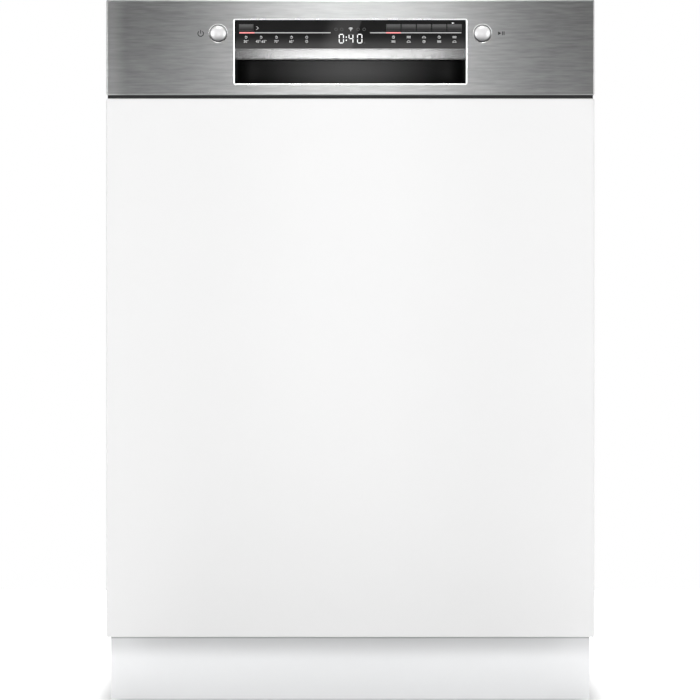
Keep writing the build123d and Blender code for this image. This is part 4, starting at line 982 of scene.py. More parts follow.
# %% Marks on the steel
mark_stroke, mark_face = 1.0 * MM, face_y + print_thickness
power_x, power_z = -183.4 * MM, button_places["power"].z - 0.4 * MM
power_mark = arc((power_x, power_z), 3.4 * MM, mark_stroke, 125, 415, steps=28)
power_mark.append(bar((power_x, power_z), (power_x, power_z + 4.4 * MM), mark_stroke))
print_on("power_mark", power_mark, ink_dark, mark_face)
start_x, start_z = 181.0 * MM, button_places["start"].z
half = 2.3 * MM
start_mark = [[(start_x, start_z - half), (start_x + 4.0 * MM, start_z), (start_x, start_z + half)]]
for x in (start_x + 5.6 * MM, start_x + 7.4 * MM):
    start_mark.append(bar((x, start_z - half), (x, start_z + half), mark_stroke))
print_on("start_mark", start_mark, ink_dark, mark_face)
print("marks on the steel ready")

# %% [markdown]
# ## Keys, silver bar and grip pocket
# The keys are long caps with a shallow scoop, so that a fingertip finds them. A grid of points goes
# over the face of the cap, and a skirt runs back from its rim.

# %% Key caps
def grid(columns, rows, point):
    """Points (u, v) from 0 to 1 over a sheet, row after row, and the faces between them."""
    points = [point(i / columns, j / rows) for j in range(rows + 1) for i in range(columns + 1)]
    next_row = columns + 1
    faces = [[a, a + 1, a + next_row + 1, a + next_row] for j in range(rows)
             for a in range(j * next_row, j * next_row + columns)]
    return points, faces


def key_cap(low, high, columns=14, rows=8):
    """A cap whose face sinks towards its middle."""
    width, height = high.x - low.x, high.z - low.z

    def face_point(u, v):
        edge = min(u * width, (1 - u) * width, v * height, (1 - v) * height)
        roll = max(0.0, 1 - edge / (0.8 * MM)) ** 2 * 0.5 * MM
        scoop = max(0.0, math.sin(math.pi * u) * math.sin(math.pi * v)) ** 0.5 * 0.45 * MM
        return Vector((low.x + width * u, low.y + roll + scoop, low.z + height * v))

    points, faces = grid(columns, rows, face_point)
    row, top = columns + 1, rows * (columns + 1)
    rim = [*range(row), *range(2 * row - 1, top + row, row),
           *range(top + columns - 1, top - 1, -1), *range(top - row, 0, -row)]
    front = [points[i] for i in rim]
    skirt = loft([front, [Vector((p.x, high.y, p.z)) for p in front]])
    skirt[1].pop(-2)
    return joined((points, faces), skirt)


for name in keys:
    add_piece(f"{name}_cap", [key_cap(*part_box(name))], key_grey, name, [name])
print("keys:", len(keys))

# %% [markdown]
# The silver bar is a drawn profile: a low crowned face between two fine beads. The section is
# worked out point by point, from the top down, and drawn along the bar.

# %% Silver bar
trim_low, trim_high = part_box("handle_trim")
trim_height = trim_high.z - trim_low.z
trim_steps, bead_width = 28, 0.5 * MM
trim_section, lean = [], 0.0
for i in range(trim_steps + 1):
    share = 1 - i / trim_steps
    lean += math.tan(math.radians(6.8 - 4.8 * share)) * trim_height / trim_steps
    bead = sum(math.exp(-((share - middle) * trim_height / bead_width) ** 2)
               for middle in (0.05, 0.95))
    edge_drop = max(0.0, abs(share - 0.5) - 0.47) * 24 * MM
    y = trim_low.y + 0.45 * MM + lean - 0.4 * MM * bead + edge_drop
    trim_section.append((y, trim_low.z + trim_height * share))
trim_section = trim_section[::-1] + [(trim_high.y, trim_high.z), (trim_high.y, trim_low.z)]
trim_rings = [sideways(trim_section, x) for x in (trim_low.x, trim_high.x)]
add_piece("silver_bar", [loft(trim_rings)], trim_silver, "door", ["handle_trim"],
          crease=40)
print("silver bar:", size_of("handle_trim")[0], "mm long")

# %% [markdown]
# Behind and under the bar is the pocket that the fingers reach into, a scoop with soft ends,
# moulded in black plastic. A smooth curve runs through eight points from its lower lip to the back
# of the bar, and its depth fades out towards both ends.

# %% Grip pocket
def through(before, start, end, after, t):
    """A value on a smooth curve from start to end that also heeds the points beside them."""
    return 0.5 * (2 * start + (end - before) * t
                  + (2 * before - 5 * start + 4 * end - after) * t * t
                  + (3 * start - before - 3 * end + after) * t ** 3)


front, back, floor, roof = pocket_low.y, pocket_high.y, pocket_low.z, pocket_high.z
scoop_path = [(front + 2.2 * MM, floor + 0.6 * MM), (front + 18 * MM, floor + 0.8 * MM),
              (back - 7 * MM, floor + 1.6 * MM), (back - 1.6 * MM, floor + 7 * MM),
              (back - 1.2 * MM, floor + 22 * MM), (back - 4 * MM, roof - 4.5 * MM),
              (back - 12 * MM, roof - 1.2 * MM), (trim_high.y + 0.4 * MM, roof - 0.8 * MM)]
last_span = len(scoop_path) - 2


def pocket_point(u, v):
    """A point of the scoop: u along it, v from its lower lip to the back of the bar."""
    u = 2 * u - 1
    span = min(int(v * (last_span + 1)), last_span)
    near = [scoop_path[max(0, min(last_span + 1, span + k))] for k in (-1, 0, 1, 2)]
    y, z = (through(*values, v * (last_span + 1) - span) for values in zip(*near))
    lip_y, fade = scoop_path[0][0], (1 - abs(u) ** 7) ** 0.5
    return Vector(((pocket_high.x - 0.3 * MM) * u, lip_y + (y - lip_y) * (0.12 + 0.88 * fade), z))


scoop_mesh = plain_mesh(grid(72, 28, pocket_point))
scoop = add_piece("grip_scoop", scoop_mesh, pocket_black, "door",
                  ["handle_pocket"], crease=60)
wall = scoop.modifiers.new("wall", "SOLIDIFY")
wall.thickness = 0.5 * MM
wall.offset = 0.0
print("grip pocket:", len(scoop_mesh.vertices), "points")

# %% [markdown]
# ## The white door front
# The furniture panel is lacquered board. Its edges are eased by a millimetre, which shades a thin
# grey line down both sides, and its colour paints the rims darker as well. It hides the imported panel,
# which has the same size.

# %% White panel
white_shape = box_slab(*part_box("furniture_panel"), edge=1.2 * MM, corner=2.0 * MM)
add_piece("white_front", [white_shape], panel_white, "door",
          ["furniture_panel"], crease=50)
print("white front:", size_of("furniture_panel"), "mm")

# %% [markdown]
# ## Bent wire
# Dish baskets are steel wire, bent, welded and dipped in nylon. A wire here is a circle carried
# along a path. Each corner of the path becomes a short curve, since no wire is bent to a sharp
# corner, and the free ends are rounded, because the nylon gathers there.

# %% A wire along a path
def curved(path, bend, closed):
    """The path with a short curve at each of its corners."""
    knots = [Vector(p) for p in path]
    line = []
    for i, knot in enumerate(knots):
        if not closed and i in (0, len(knots) - 1):
            line.append(knot)
            continue
        back, ahead = knots[i - 1] - knot, knots[(i + 1) % len(knots)] - knot
        reach = min(bend, back.length * 0.45, ahead.length * 0.45)
        first, last = knot + back.normalized() * reach, knot + ahead.normalized() * reach
        for t in (0, 0.25, 0.5, 0.75, 1):
            line.append(first * (1 - t) ** 2 + knot * 2 * t * (1 - t) + last * t * t)
    return line


def bent(path, radius, bend=0.010, sides=8, closed=False):
    """A round wire. A closed path joins its own start."""
    line = curved(path, bend, closed)
    thickness = [1.0] * len(line)
    if not closed:
        start, end = (line[1] - line[0]).normalized(), (line[-2] - line[-1]).normalized()
        line = ([line[0], line[0] + start * radius * 0.3, line[0] + start * radius] + line[1:-1]
                + [line[-1] + end * radius, line[-1] + end * radius * 0.3, line[-1]])
        thickness = [0.4, 0.8] + [1.0] * (len(line) - 4) + [0.8, 0.4]
    rings, side = [], None
    for i, point in enumerate(line):
        ahead = line[(i + 1) % len(line)] if closed or i + 1 < len(line) else point
        back = line[i - 1] if closed or i else point
        heading = (ahead - back).normalized()
        side = heading.orthogonal() if side is None else side - heading * side.dot(heading)
        side.normalize()
        up = heading.cross(side)
        rings.append([point + (side * x + up * y) * radius * thickness[i]
                      for x, y in circle((0, 0), 1, sides)])
    return hoop(rings) if closed else loft(rings)


def evenly(low, high, pitch):
    """Places from low to high, as near the pitch as whole spaces allow."""
    count = max(1, round((high - low) / pitch))
    return [low + (high - low) * i / count for i in range(count + 1)]


print("wire tools ready")

# %% [markdown]
# ## The two baskets
# Both are made the same way. Cross wires are bent up at both ends, so one wire is a piece of the
# floor and of two walls. The long wires lie on them and turn up at the front and the back. A
# thicker wire runs round the top as a rim, and the tines stand in rows on the long wires.

# %% Basket wires
wire, rim_wire, coat_gap = 2.0 * MM, 3.0 * MM, 0.1 * MM
basket_front, basket_back = -0.172, 0.234


def belt(half, z, out, radius, bend, sides=8):
    """A closed wire round the basket, a little outside its walls."""
    (left, front), (right, back) = (-half - out, basket_front - out), (half + out, basket_back + out)
    path = [(left, front, z), (right, front, z), (right, back, z), (left, back, z)]
    return bent(path, radius, bend, sides, closed=True)


def basket_wires(half, floor_z, rim_z, pitch):
    """Floor, walls and rim, and the places and height of the long wires."""
    long_z = floor_z + 2 * wire + coat_gap
    places = evenly(-half + 24 * MM, half - 24 * MM, pitch)
    shapes = [belt(half, rim_z, 0, rim_wire, 22 * MM, sides=12)]
    for y in evenly(basket_front + 14 * MM, basket_back - 14 * MM, 38 * MM):
        shapes.append(bent([(-half, y, rim_z), (-half, y, floor_z), (half, y, floor_z),
                            (half, y, rim_z)], wire, 14 * MM))
    for x in places:
        shapes.append(bent([(x, basket_front, rim_z), (x, basket_front, long_z),
                            (x, basket_back, long_z), (x, basket_back, rim_z)], wire, 14 * MM))
    return shapes, places, long_z


def tines(xs, ys, low_z, high_z):
    return [bent([(x, y, low_z), (x, y, high_z)], wire) for y in ys for x in xs]


def add_wires(name, wires, body, node):
    add_piece(name, wires, wire_coat, body, [node], crease=60)
    print(f"{name}: {len(wires)} wires")


lower_half, lower_floor, lower_rim = 0.262, 0.190, 0.369
wires, long_x, lower_long = basket_wires(lower_half, lower_floor, lower_rim, 40 * MM)
for share in (0.32, 0.5):
    wires.append(belt(lower_half, lower_floor + (lower_rim - lower_floor) * share,
                      2 * (wire + coat_gap), wire, 24 * MM))
fixed_rows, bar_z = (0.010, 0.080), lower_long + coat_gap
wires += tines(long_x[1:-1], fixed_rows, lower_long, lower_long + 0.080)
wires += [bent([(long_x[1] - 0.01, y, bar_z), (long_x[-2] + 0.01, y, bar_z)], wire)
          for y in fixed_rows]
add_wires("lower_basket_wires", wires, "lower_basket", "lower_basket")

upper_rim = 0.603
wires, upper_x, upper_long = basket_wires(0.252, 0.480, upper_rim, 38 * MM)
upper_rows = [basket_back - 0.094 - i * 0.080 for i in range(4)]
wires += tines(upper_x[3:-2:2], upper_rows, upper_long, upper_long + 0.052)
add_wires("upper_basket_wires", wires, "upper_basket", "upper_basket")

# %% [markdown]
# A moulded grip sits on each front rim. The upper basket hangs on two slide bars. The lower one
# stands on carriers with axles, and small clips hold the folding comb down.

# %% Handles, slide bars, wheel carriers and tine clips
wheel_x, wheel_z, wheel_rows = 0.252, 0.1636, {"front": -0.065, "rear": 0.165}
handle_front, handle_back = basket_front - 11.2 * MM, basket_front - 3.2 * MM
for name, z in (("lower_basket", lower_rim), ("upper_basket", upper_rim)):
    handle = [box_slab((-0.070, handle_front, z - 0.012), (0.070, handle_back, z + 0.008),
                       2.2 * MM, 8 * MM),
              box_slab((-0.056, handle_front - 0.4 * MM, z - 0.0075),
                       (0.056, handle_front + 0.8 * MM, z + 0.0035), 0.5 * MM, 4 * MM)]
    add_piece(f"{name}_handle", handle, light_plastic, name)

slide_bars = [block((side * 0.26125, 0.030, 0.530), (0.0135, 0.400, 0.024), 1.5 * MM, 3 * MM)
              for side in (-1, 1)]
add_piece("upper_slide_bars", slide_bars, light_plastic, "upper_basket")

carriers = [box_slab((x - 5 * MM, 0.145, lower_long + 2 * MM),
                     (x + 5 * MM, 0.155, lower_long + 4.3 * MM), 0.5 * MM, 1 * MM)
            for x in long_x[2:-2:3]]
for side in (-1, 1):
    for y in wheel_rows.values():
        carriers.append(block((side * 0.241, y, 0.1717), (0.006, 0.044, 0.0322), 1 * MM, 2 * MM))
        carriers.append(turned(mm((4, -7), (4, 6), (3, 7)), 20, (side * 0.251, y, wheel_z),
                               (side, 0, 0)))
add_piece("wheel_carriers", carriers, grey_plastic, "lower_basket")
print("handles, bars and carriers ready")

# %% [markdown]
# The wheels are spoked, with a rounded tread. A hub, six spokes and a rim are each turned or cut
# from a block, laid on the wheel's axis and joined.

# %% Basket wheels
tread = mm((14.2, -6), (17, -6), (18, -4), (18, 4), (17, 6), (14.2, 6), (14.2, 1))
hub = mm((4.2, -5.8), (6.6, -5.8), (7.4, -4), (7.4, 4), (6.6, 5.8), (4.2, 5.8))
spoke = box_slab((-3 * MM, -1.4 * MM, 6.6 * MM), (3 * MM, 1.4 * MM, 15 * MM), 0.5 * MM, 0.9 * MM)
for end, y in wheel_rows.items():
    pair = []
    for place in ((-wheel_x, y, wheel_z), (wheel_x, y, wheel_z)):
        pair += [ring_of(tread, 40, place, (1, 0, 0)), ring_of(hub, 28, place, (1, 0, 0))]
        pair += [moved(spoke, place, Matrix.Rotation(math.radians(60 * k), 3, "X"))
                 for k in range(6)]
    add_piece(f"{end}_wheels_spoked", pair, light_plastic, f"{end}_wheels",
              [f"{end}_basket_wheels"])
print("wheels ready")

# %% [markdown]
# The folding tines are one welded comb: a bar that turns in clips, and a wire at each place.

# %% Folding tines
comb_low, comb_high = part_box("folding_tines")
comb_y, comb_r = (comb_low.y + comb_high.y) / 2, 2.5 * MM
bar_z = comb_low.z + comb_r
comb = tines(evenly(comb_low.x + 8 * MM, comb_high.x - 8 * MM, 38 * MM), [comb_y], bar_z,
             comb_high.z)
comb.append(bent([(comb_low.x, comb_y, bar_z), (comb_high.x, comb_y, bar_z)], comb_r))
add_wires("folding_comb", comb, "folding_tines", "folding_tines")

# %% [markdown]
# ## Cutlery basket and cup shelf
# Both are moulded lattices. A pierced plate is one flat curve with a hole for every opening. It
# comes out standing, so `lattice` turns it to face sideways or to lie down. Walls made this way
# let the water and the light through, which a solid box with painted holes wouldn't.

# %% Lattices
def lattice(low, high, axis, cell, web, border):
    """A plate pierced by a grid of rounded holes. `axis` is the direction of its thickness."""
    flat = [k for k in range(3) if k != axis]
    size = [high[k] - low[k] for k in flat]
    room = [length - 2 * border + web for length in size]
    counts = [max(1, int(length / (opening + web))) for length, opening in zip(room, cell)]
    step = [length / count for length, count in zip(room, counts)]
    holes = []
    for i in range(counts[0]):
        for j in range(counts[1]):
            left, base = border + i * step[0], border + j * step[1]
            holes.append(round_rect((left, base), (left + step[0] - web, base + step[1] - web),
                                    web * 0.5, 2))
    outer = round_rect((0, 0), size, web * 0.4, 2)
    points, faces = as_shape(pierced_plate(outer, holes, 0, high[axis] - low[axis]))
    order = {flat[0]: 0, axis: 1, flat[1]: 2}
    return [Vector([low[k] + p[order[k]] for k in range(3)]) for p in points], faces


bin_low, bin_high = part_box("cutlery_basket")
bin_wall, wall_top = 2.2 * MM, bin_high.z - 6 * MM
wall_style = (8 * MM, 15 * MM), 3.0 * MM, 6 * MM
bin_parts = [lattice((bin_low.x, y, bin_low.z), (bin_high.x, y + bin_wall, wall_top), 1, *wall_style)
             for y in (bin_low.y, bin_high.y - bin_wall)]
for i in range(4):
    x = bin_low.x + i * (bin_high.x - bin_low.x - bin_wall) / 3
    bin_parts.append(lattice((x, bin_low.y, bin_low.z), (x + bin_wall, bin_high.y, wall_top), 0,
                             *wall_style))
bin_parts.append(lattice(bin_low, (bin_high.x, bin_high.y, bin_low.z + bin_wall), 2,
                         (8 * MM, 8 * MM), 3.0 * MM, 6 * MM))
bin_rim = round_rect((bin_low.x, bin_low.y), (bin_high.x, bin_high.y), 5 * MM)
bin_parts.append(hoop([lying(inset(bin_rim, amount), bin_high.z + level) for amount, level in mm(
    (0, -8), (0, -1.2), (1.2, 0), (3.0, 0), (3.8, -1.2), (3.8, -8))]))
add_piece("cutlery_lattice", bin_parts, light_plastic, "cutlery_basket",
          ["cutlery_basket"])

shelf_low, shelf_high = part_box("cup_shelf")
shelf_z, rod_x = (shelf_low.z + shelf_high.z) / 2, shelf_low.x + 3 * MM
shelf_parts = [lattice((rod_x + 2 * MM, shelf_low.y, shelf_z - 1.1 * MM),
                       (shelf_high.x, shelf_high.y, shelf_z + 1.1 * MM), 2,
                       (22 * MM, 26 * MM), 4 * MM, 7 * MM)]
for x, radius, sides in ((rod_x, 3 * MM, 14), (shelf_high.x - 1.6 * MM, 1.5 * MM, 10)):
    shelf_parts.append(bent([(x, shelf_low.y, shelf_z), (x, shelf_high.y, shelf_z)], radius,
                            sides=sides))
add_piece("cup_shelf_lattice", shelf_parts, light_plastic, "cup_shelf",
          ["cup_shelf"])
print("cutlery basket:", size_of("cutlery_basket"), "cup shelf:", size_of("cup_shelf"), "mm")

# %% [markdown]
# ## Spray arms
# An arm is two hollow blades on a hub. The blades are swept, one forwards and one backwards, and
# carry a raised rib and a row of jets. The jets stand a little to one side of the middle, since
# their slant is what drives the arm round. The hub stays hollow, so that the pipe or post fits.
# Each jet's opening is a black plug in a raised ring, painted shade for the hole.

# %% Blades, hubs and jets
def blade_outline(reach, root, width, sweep):
    """One blade from its root to its rounded tip, pointing along +X and swept sideways."""
    upper, lower = [], []
    tip = width * 0.72
    for share in (k / 8 for k in range(9)):
        x = root + (reach - tip - root) * share
        half = width * (1 - 0.28 * share)
        offset = sweep * share ** 2
        upper.append((x, offset + half))
        lower.append((x, offset - half))
    cap = [(reach - tip + tip * math.cos(math.radians(a)), sweep + tip * math.sin(math.radians(a)))
           for a in range(-75, 90, 15)]
    return lower + cap + upper[::-1]


def hub_profile(low_z, high_z, bore, from_below):
    """The hub's section: closed at its top over a post, or closed at its foot under a pipe."""
    if from_below:
        offsets = [(0.2, 0), (11, 0), (17, -1.5), (21, -4)]
        return [(r, high_z + z) for r, z in mm(*offsets)] + [
            (21 * MM, low_z), (bore, low_z), (bore, high_z - 3.4 * MM),
            (0.2 * MM, high_z - 3.4 * MM)]
    offsets = [(21, 1), (19, 0), (0.2, 0), (0.2, 3.6)]
    return [(bore, high_z), (17 * MM, high_z), (19.5 * MM, high_z - 1.5 * MM),
            (21 * MM, high_z - 5 * MM), *((r, low_z + z) for r, z in mm(*offsets)),
            (bore, low_z + 3.6 * MM)]


def spray_arm(node, bore, from_below, jets):
    low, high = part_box(node)
    middle, reach = (low + high) / 2, (high.x - low.x) / 2
    blade_low = low.z + (2 * MM if from_below else 0)
    blade_high = blade_low + 8.6 * MM
    outline = blade_outline(reach, 14.5 * MM, 15.5 * MM, 4.5 * MM)
    rib = inset(blade_outline(reach - 14 * MM, 20 * MM, 15.5 * MM, 4.0 * MM), 7.5 * MM)
    blade = joined(slab(outline, blade_low, blade_high, 2.6 * MM, lying),
                   slab(rib, blade_high - 0.6 * MM, blade_high + 1.3 * MM, 0.9 * MM, lying))
    blades = [ring_of(hub_profile(low.z, high.z, bore, from_below), 48, (middle.x, middle.y, 0))]
    holes = []
    for turn, slant in ((0, -2.2 * MM), (180, 2.2 * MM)):
        spin = Matrix.Rotation(math.radians(turn), 3, "Z")
        blades.append(moved(blade, (middle.x, middle.y, 0), spin))
        for share in jets:
            seat = spin @ Vector((reach * share, 4.5 * MM * share ** 2 + slant, 0))
            seat += Vector((middle.x, middle.y, blade_high + 1.0 * MM))
            blades.append(ring_of(mm((2.6, 0), (4.6, 0), (4.0, 0.9), (3.0, 0.9)), 20, seat))
            # Painted shade: the jet's opening is a black plug, not a hole.
            holes.append(turned(mm((3.0, -0.5), (3.0, 0.45)), 20, seat))
    add_piece(f"{node}_blades", blades, light_plastic, node, [node])
    add_piece(f"{node}_jets", holes, black_plastic, node)
    print(f"{node}: {len(holes)} jets, reach {reach * 1000:.0f} mm")


many_jets, few_jets = (0.25, 0.42, 0.6, 0.76, 0.9), (0.35, 0.58, 0.82)
spray_arm("lower_spray_arm", 12.4 * MM, True, many_jets)
spray_arm("upper_spray_arm", 8.4 * MM, False, many_jets)
spray_arm("top_spray_arm", 8.4 * MM, False, few_jets)

# %% [markdown]
# ## Pressed steel
# Thin steel is pressed into beads, which stiffen it and keep a wall from ringing. A bead here is
# a long rounded strip that stands a little proud of its wall. The strips are slabs laid against
# the side walls, the back wall and the door's liner. Each is sunk a fraction into the sheet, so
# that no gap shows behind it.

# %% Beads of the tub and the liner
inner_x, back_wall_y, liner_y = 0.272, 0.260, -0.210
mouth_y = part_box("tub")[0].y
proud, sunk = 1.2 * MM, 0.3 * MM


def both_sides(strip, wall_x, out, in_, edge):
    """The same strip on the left and the right wall, from `in_` inside to `out` outside."""
    return [slab(strip, -wall_x - out, -wall_x + in_, edge, sideways),
            slab(strip, wall_x - in_, wall_x + out, edge, sideways)]


beads = []
for z in (0.225, 0.295, 0.405, 0.455, 0.585, 0.655, 0.725, 0.785):
    strip = round_rect((mouth_y + 0.028, z - 5 * MM), (back_wall_y - 0.022, z + 5 * MM), 4.9 * MM)
    beads += both_sides(strip, inner_x, sunk, proud, 1.1 * MM)
for x in (-0.215, -0.165, -0.115, -0.065, 0.065, 0.115, 0.165, 0.215):
    strip = round_rect((x - 6 * MM, 0.210), (x + 6 * MM, 0.800), 5.9 * MM)
    beads.append(slab(strip, back_wall_y - proud, back_wall_y + sunk, 1.1 * MM))
add_piece("tub_beads", beads, tub_steel, "cabinet", crease=50)


def pressed_frame(low, high, corner, width, face, height):
    """A raised frame on a standing sheet, as rings that step up, over and down."""
    outline = round_rect(low, high, corner, 8)
    steps = [(0, -sunk), (width * 0.12, height * 0.75), (width * 0.3, height),
             (width * 0.7, height), (width * 0.88, height * 0.75), (width, -sunk)]
    return hoop([standing(inset(outline, amount), face + level) for amount, level in steps])


liner_frames = [pressed_frame((-half, low_z), (half, high_z), corner, width, liner_y, proud)
                for half, low_z, high_z, corner, width in (
                    (0.246, 0.178, 0.818, 0.030, 9 * MM), (0.104, 0.350, 0.500, 0.014, 7 * MM),
                    (0.205, 0.560, 0.775, 0.024, 8 * MM), (0.205, 0.210, 0.300, 0.024, 8 * MM))]
add_piece("liner_pressings", liner_frames, tub_steel, "door", crease=50)
print("beads:", len(beads), "frames:", len(liner_frames))

# %% [markdown]
# The seal round the tub's mouth is a soft bulb. Its section is carried round the mouth: ring after
# ring of the same rounded outline, each drawn in a little further than the one before.

# %% Bulb seal
seal_low, seal_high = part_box("tub_seal")
seal_outline = round_rect((seal_low.x, seal_low.z), (seal_high.x, seal_high.z), 0.024, 10)
seal_section = mm((0, 0), (0, -5.5), (0.8, -8.0), (2.4, -9.4), (4.4, -9.5), (6.4, -8.6),
                  (7.6, -6.6), (7.8, -4.2), (6.6, -2.6), (8.0, -1.4), (8.0, 0))
seal_rings = [standing(inset(seal_outline, amount), seal_high.y + level)
              for amount, level in seal_section]
add_piece("bulb_seal", [hoop(seal_rings)], black_rubber, "cabinet", ["tub_seal"],
          crease=50)
print("seal:", len(seal_section), "points in its section")

# %% [markdown]
# ## Dispenser, filter and salt cap
# These are the parts a hand turns or slides, so each gets something to hold. The dispenser's lid
# has ribs and an arrow that shows the way it slides, and the rinse aid cap a notched edge.

# %% Dispenser
def toothed(x, y, radius, depth, teeth):
    """An outline like a cog with soft teeth."""
    points = []
    for k in range(teeth * 4):
        reach, angle = radius - (depth if k % 4 < 2 else 0), math.pi * k / (teeth * 2)
        points.append((x + reach * math.cos(angle), y + reach * math.sin(angle)))
    return points


lid_low, lid_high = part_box("dispenser_lid")
lid_shapes = [box_slab(lid_low, (lid_high.x, lid_high.y - 0.9 * MM, lid_high.z), 1.2 * MM, 4 * MM)]
for k in range(5):
    x = lid_high.x - (14 + 5 * k) * MM
    lid_shapes.append(box_slab((x - 1.1 * MM, lid_high.y - 1.4 * MM, lid_low.z + 11 * MM),
                               (x + 1.1 * MM, lid_high.y, lid_high.z - 11 * MM), 0.5 * MM, 1 * MM))
arrow = mm((12, 0), (22, -9), (26, -9), (18, -1.8), (30, -1.8), (30, 1.8), (18, 1.8), (26, 9), (22, 9))
arrow = [(lid_low.x + a, (lid_low.z + lid_high.z) / 2 + b) for a, b in arrow]
lid_shapes.append(slab(arrow, lid_high.y - 1.2 * MM, lid_high.y - 0.2 * MM, 0.15 * MM))
add_piece("dispenser_lid_ribbed", lid_shapes, white_plastic, "dispenser_lid",
          ["dispenser_lid"])

body_low, body_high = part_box("dispenser_body")
rim = 1.2 * MM
bezel = [pressed_frame((body_low.x + rim, body_low.z + rim), (body_high.x - rim, body_high.z - rim),
                       9 * MM, 3.4 * MM, body_high.y, 0.2 * MM)]
for k in range(10):
    x = -0.080 + 6 * MM * k
    bezel.append(box_slab((x, body_high.y - 0.3 * MM, 0.436),
                          (x + 2.8 * MM, body_high.y + 0.2 * MM, 0.470), 0.12 * MM, 1.2 * MM))
add_piece("dispenser_bezel", bezel, grey_plastic, "door")

cap_low, cap_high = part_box("rinse_aid_cap")
cap_middle, cap_r = (cap_low + cap_high) / 2, (cap_high.x - cap_low.x) / 2
x, z, cap_top = cap_middle.x, cap_middle.z, cap_high.y
cap_shapes = [
    slab(toothed(x, z, cap_r, 0.9 * MM, 20), cap_low.y, cap_top - 1.4 * MM, 0.4 * MM),
    slab(circle((x, z), cap_r - 3 * MM, 40), cap_top - 1.9 * MM, cap_top - 0.7 * MM, 0.6 * MM),
    box_slab((x - cap_r + 5 * MM, cap_top - 1.2 * MM, z - 3 * MM),
             (x + cap_r - 5 * MM, cap_top, z + 3 * MM), 0.5 * MM, 2.4 * MM)]
add_piece("rinse_aid_cap_notched", cap_shapes, blue_plastic, "rinse_aid_cap",
          ["rinse_aid_cap"])
print("dispenser pieces ready")

# %% [markdown]
# The filter is a cage of eight posts between a collar and a cup, with a bar across it to turn it
# by. A gauze as thin as paper fills the cage, and its weave is two crossed waves. The gaps between
# its strands are painted dark, painted shade.

# %% Filter
filter_low, filter_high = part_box("filter_cylinder")
filter_middle = (filter_low + filter_high) / 2
seat = (filter_middle.x, filter_middle.y, 0)
filter_r = (filter_high.x - filter_low.x) / 2 - 3 * MM
floor, rim_z = filter_low.z, 0.1476


def counted_from(radius, height, *pairs):
    """A profile in millimetres, counted from a radius and a height."""
    return [(radius + a, height + b) for a, b in mm(*pairs)]


collar = counted_from(filter_r, rim_z, (-5, -3), (0, -3), (0, 0), (2.4, 0), (3, 0.6), (3, 1.5),
                      (2.2, 2), (-4, 2))
cup = counted_from(filter_r, floor, (0, 0), (0, 7), (-1.6, 7), (-1.6, 1.6))
cup = [(0.2 * MM, floor), *cup, (0.2 * MM, floor + 1.6 * MM)]
gauze = [*counted_from(filter_r, floor, (-1.2, 6), (-0.7, 6)),
         *counted_from(filter_r, rim_z, (-0.7, -2), (-1.2, -2))]
grip_r = filter_r - 0.8 * MM
frame_shapes = [ring_of(collar, 64, seat), ring_of(cup, 64, seat),
                box_slab((seat[0] - grip_r, seat[1] - 4 * MM, rim_z - 8 * MM),
                         (seat[0] + grip_r, seat[1] + 4 * MM, filter_high.z), 1.2 * MM, 2.4 * MM)]
post = box_slab((filter_r - 1.8 * MM, -2 * MM, floor + 4 * MM), (filter_r, 2 * MM, rim_z - 1 * MM),
                0.3 * MM, 0.5 * MM)
frame_shapes += [moved(post, seat, Matrix.Rotation(math.radians(45 * k), 3, "Z")) for k in range(8)]
add_piece("filter_frame", frame_shapes, grey_plastic, "filter_cylinder",
          ["filter_cylinder"])


@finish
def fine_mesh(shader):
    waves = [shader.node("TexWave", {"Scale": scale, "Distortion": 0.0}, "Fac", wave_type="BANDS",
                         bands_direction=direction)
             for scale, direction in ((300.0, "Z"), (260.0, "DIAGONAL"))]
    strand = waves[0] * 0.5 + waves[1] * 0.5
    # Painted shade: the gaps between the strands are dark in the colour.
    return {"Base Color": tones(shader, rise(shader, strand, 0.35, 0.65), grey(0.05), grey(0.62)),
            "Metallic": 0.9, "Roughness": 0.32, "Normal": bumped(shader, strand, 0.0002, 0.5)}


add_piece("filter_gauze", [ring_of(gauze, 64, seat)], fine_mesh, "filter_cylinder")
print("filter:", round(filter_r * 1000), "mm radius")

# %% [markdown]
# The salt cap is screwed down by hand, so it has a toothed crown and a ridge across its top. A
# plain skirt reaches down into the softener's mouth.

# %% Salt cap
salt_low, salt_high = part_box("salt_cap")
salt_middle, salt_r = (salt_low + salt_high) / 2, (salt_high.x - salt_low.x) / 2
x, y, crown_z = salt_middle.x, salt_middle.y, salt_high.z - 16 * MM
salt_shapes = [
    slab(toothed(x, y, salt_r, 0.9 * MM, 24), crown_z, crown_z + 7 * MM, 0.5 * MM, lying),
    turned(counted_from(salt_r, crown_z, (-4, 6), (-5, 8)), 48, (x, y, 0)),
    turned([(20 * MM, salt_low.z), (21 * MM, salt_low.z + 1 * MM), (21 * MM, crown_z + 1 * MM)],
           40, (x, y, 0)),
    box_slab((x - 26 * MM, y - 4 * MM, crown_z + 7 * MM), (x + 26 * MM, y + 4 * MM, salt_high.z),
             1.4 * MM, 3 * MM, lying)]
add_piece("salt_cap_ribbed", salt_shapes, white_plastic, "salt_cap", ["salt_cap"])
print("salt cap:", size_of("salt_cap"), "mm")

# %% [markdown]
# ## Runners, feet and springs
# Each runner gets moulded stops at its mouth and at its back end. They are small blocks that fill
# the corners of the channel, so that the carriage can't leave it.

# %% Runner stops
stops = [block((side * 0.268, y, z), (0.0076, depth, 0.0037), 0.6 * MM, 1.2 * MM)
         for side in (-1, 1) for y, depth in ((-0.1859, 0.0078), (0.2256, 0.0080))
         for z in (0.51205, 0.54795)]
add_piece("runner_stops", stops, grey_plastic, "cabinet")
print("runner stops:", len(stops))

# %% [markdown]
# A foot is a plastic pad on a threaded stem, with a hexagon to turn it by. Rings that rise and fall
# stand for the screw thread, which is near enough at this size.

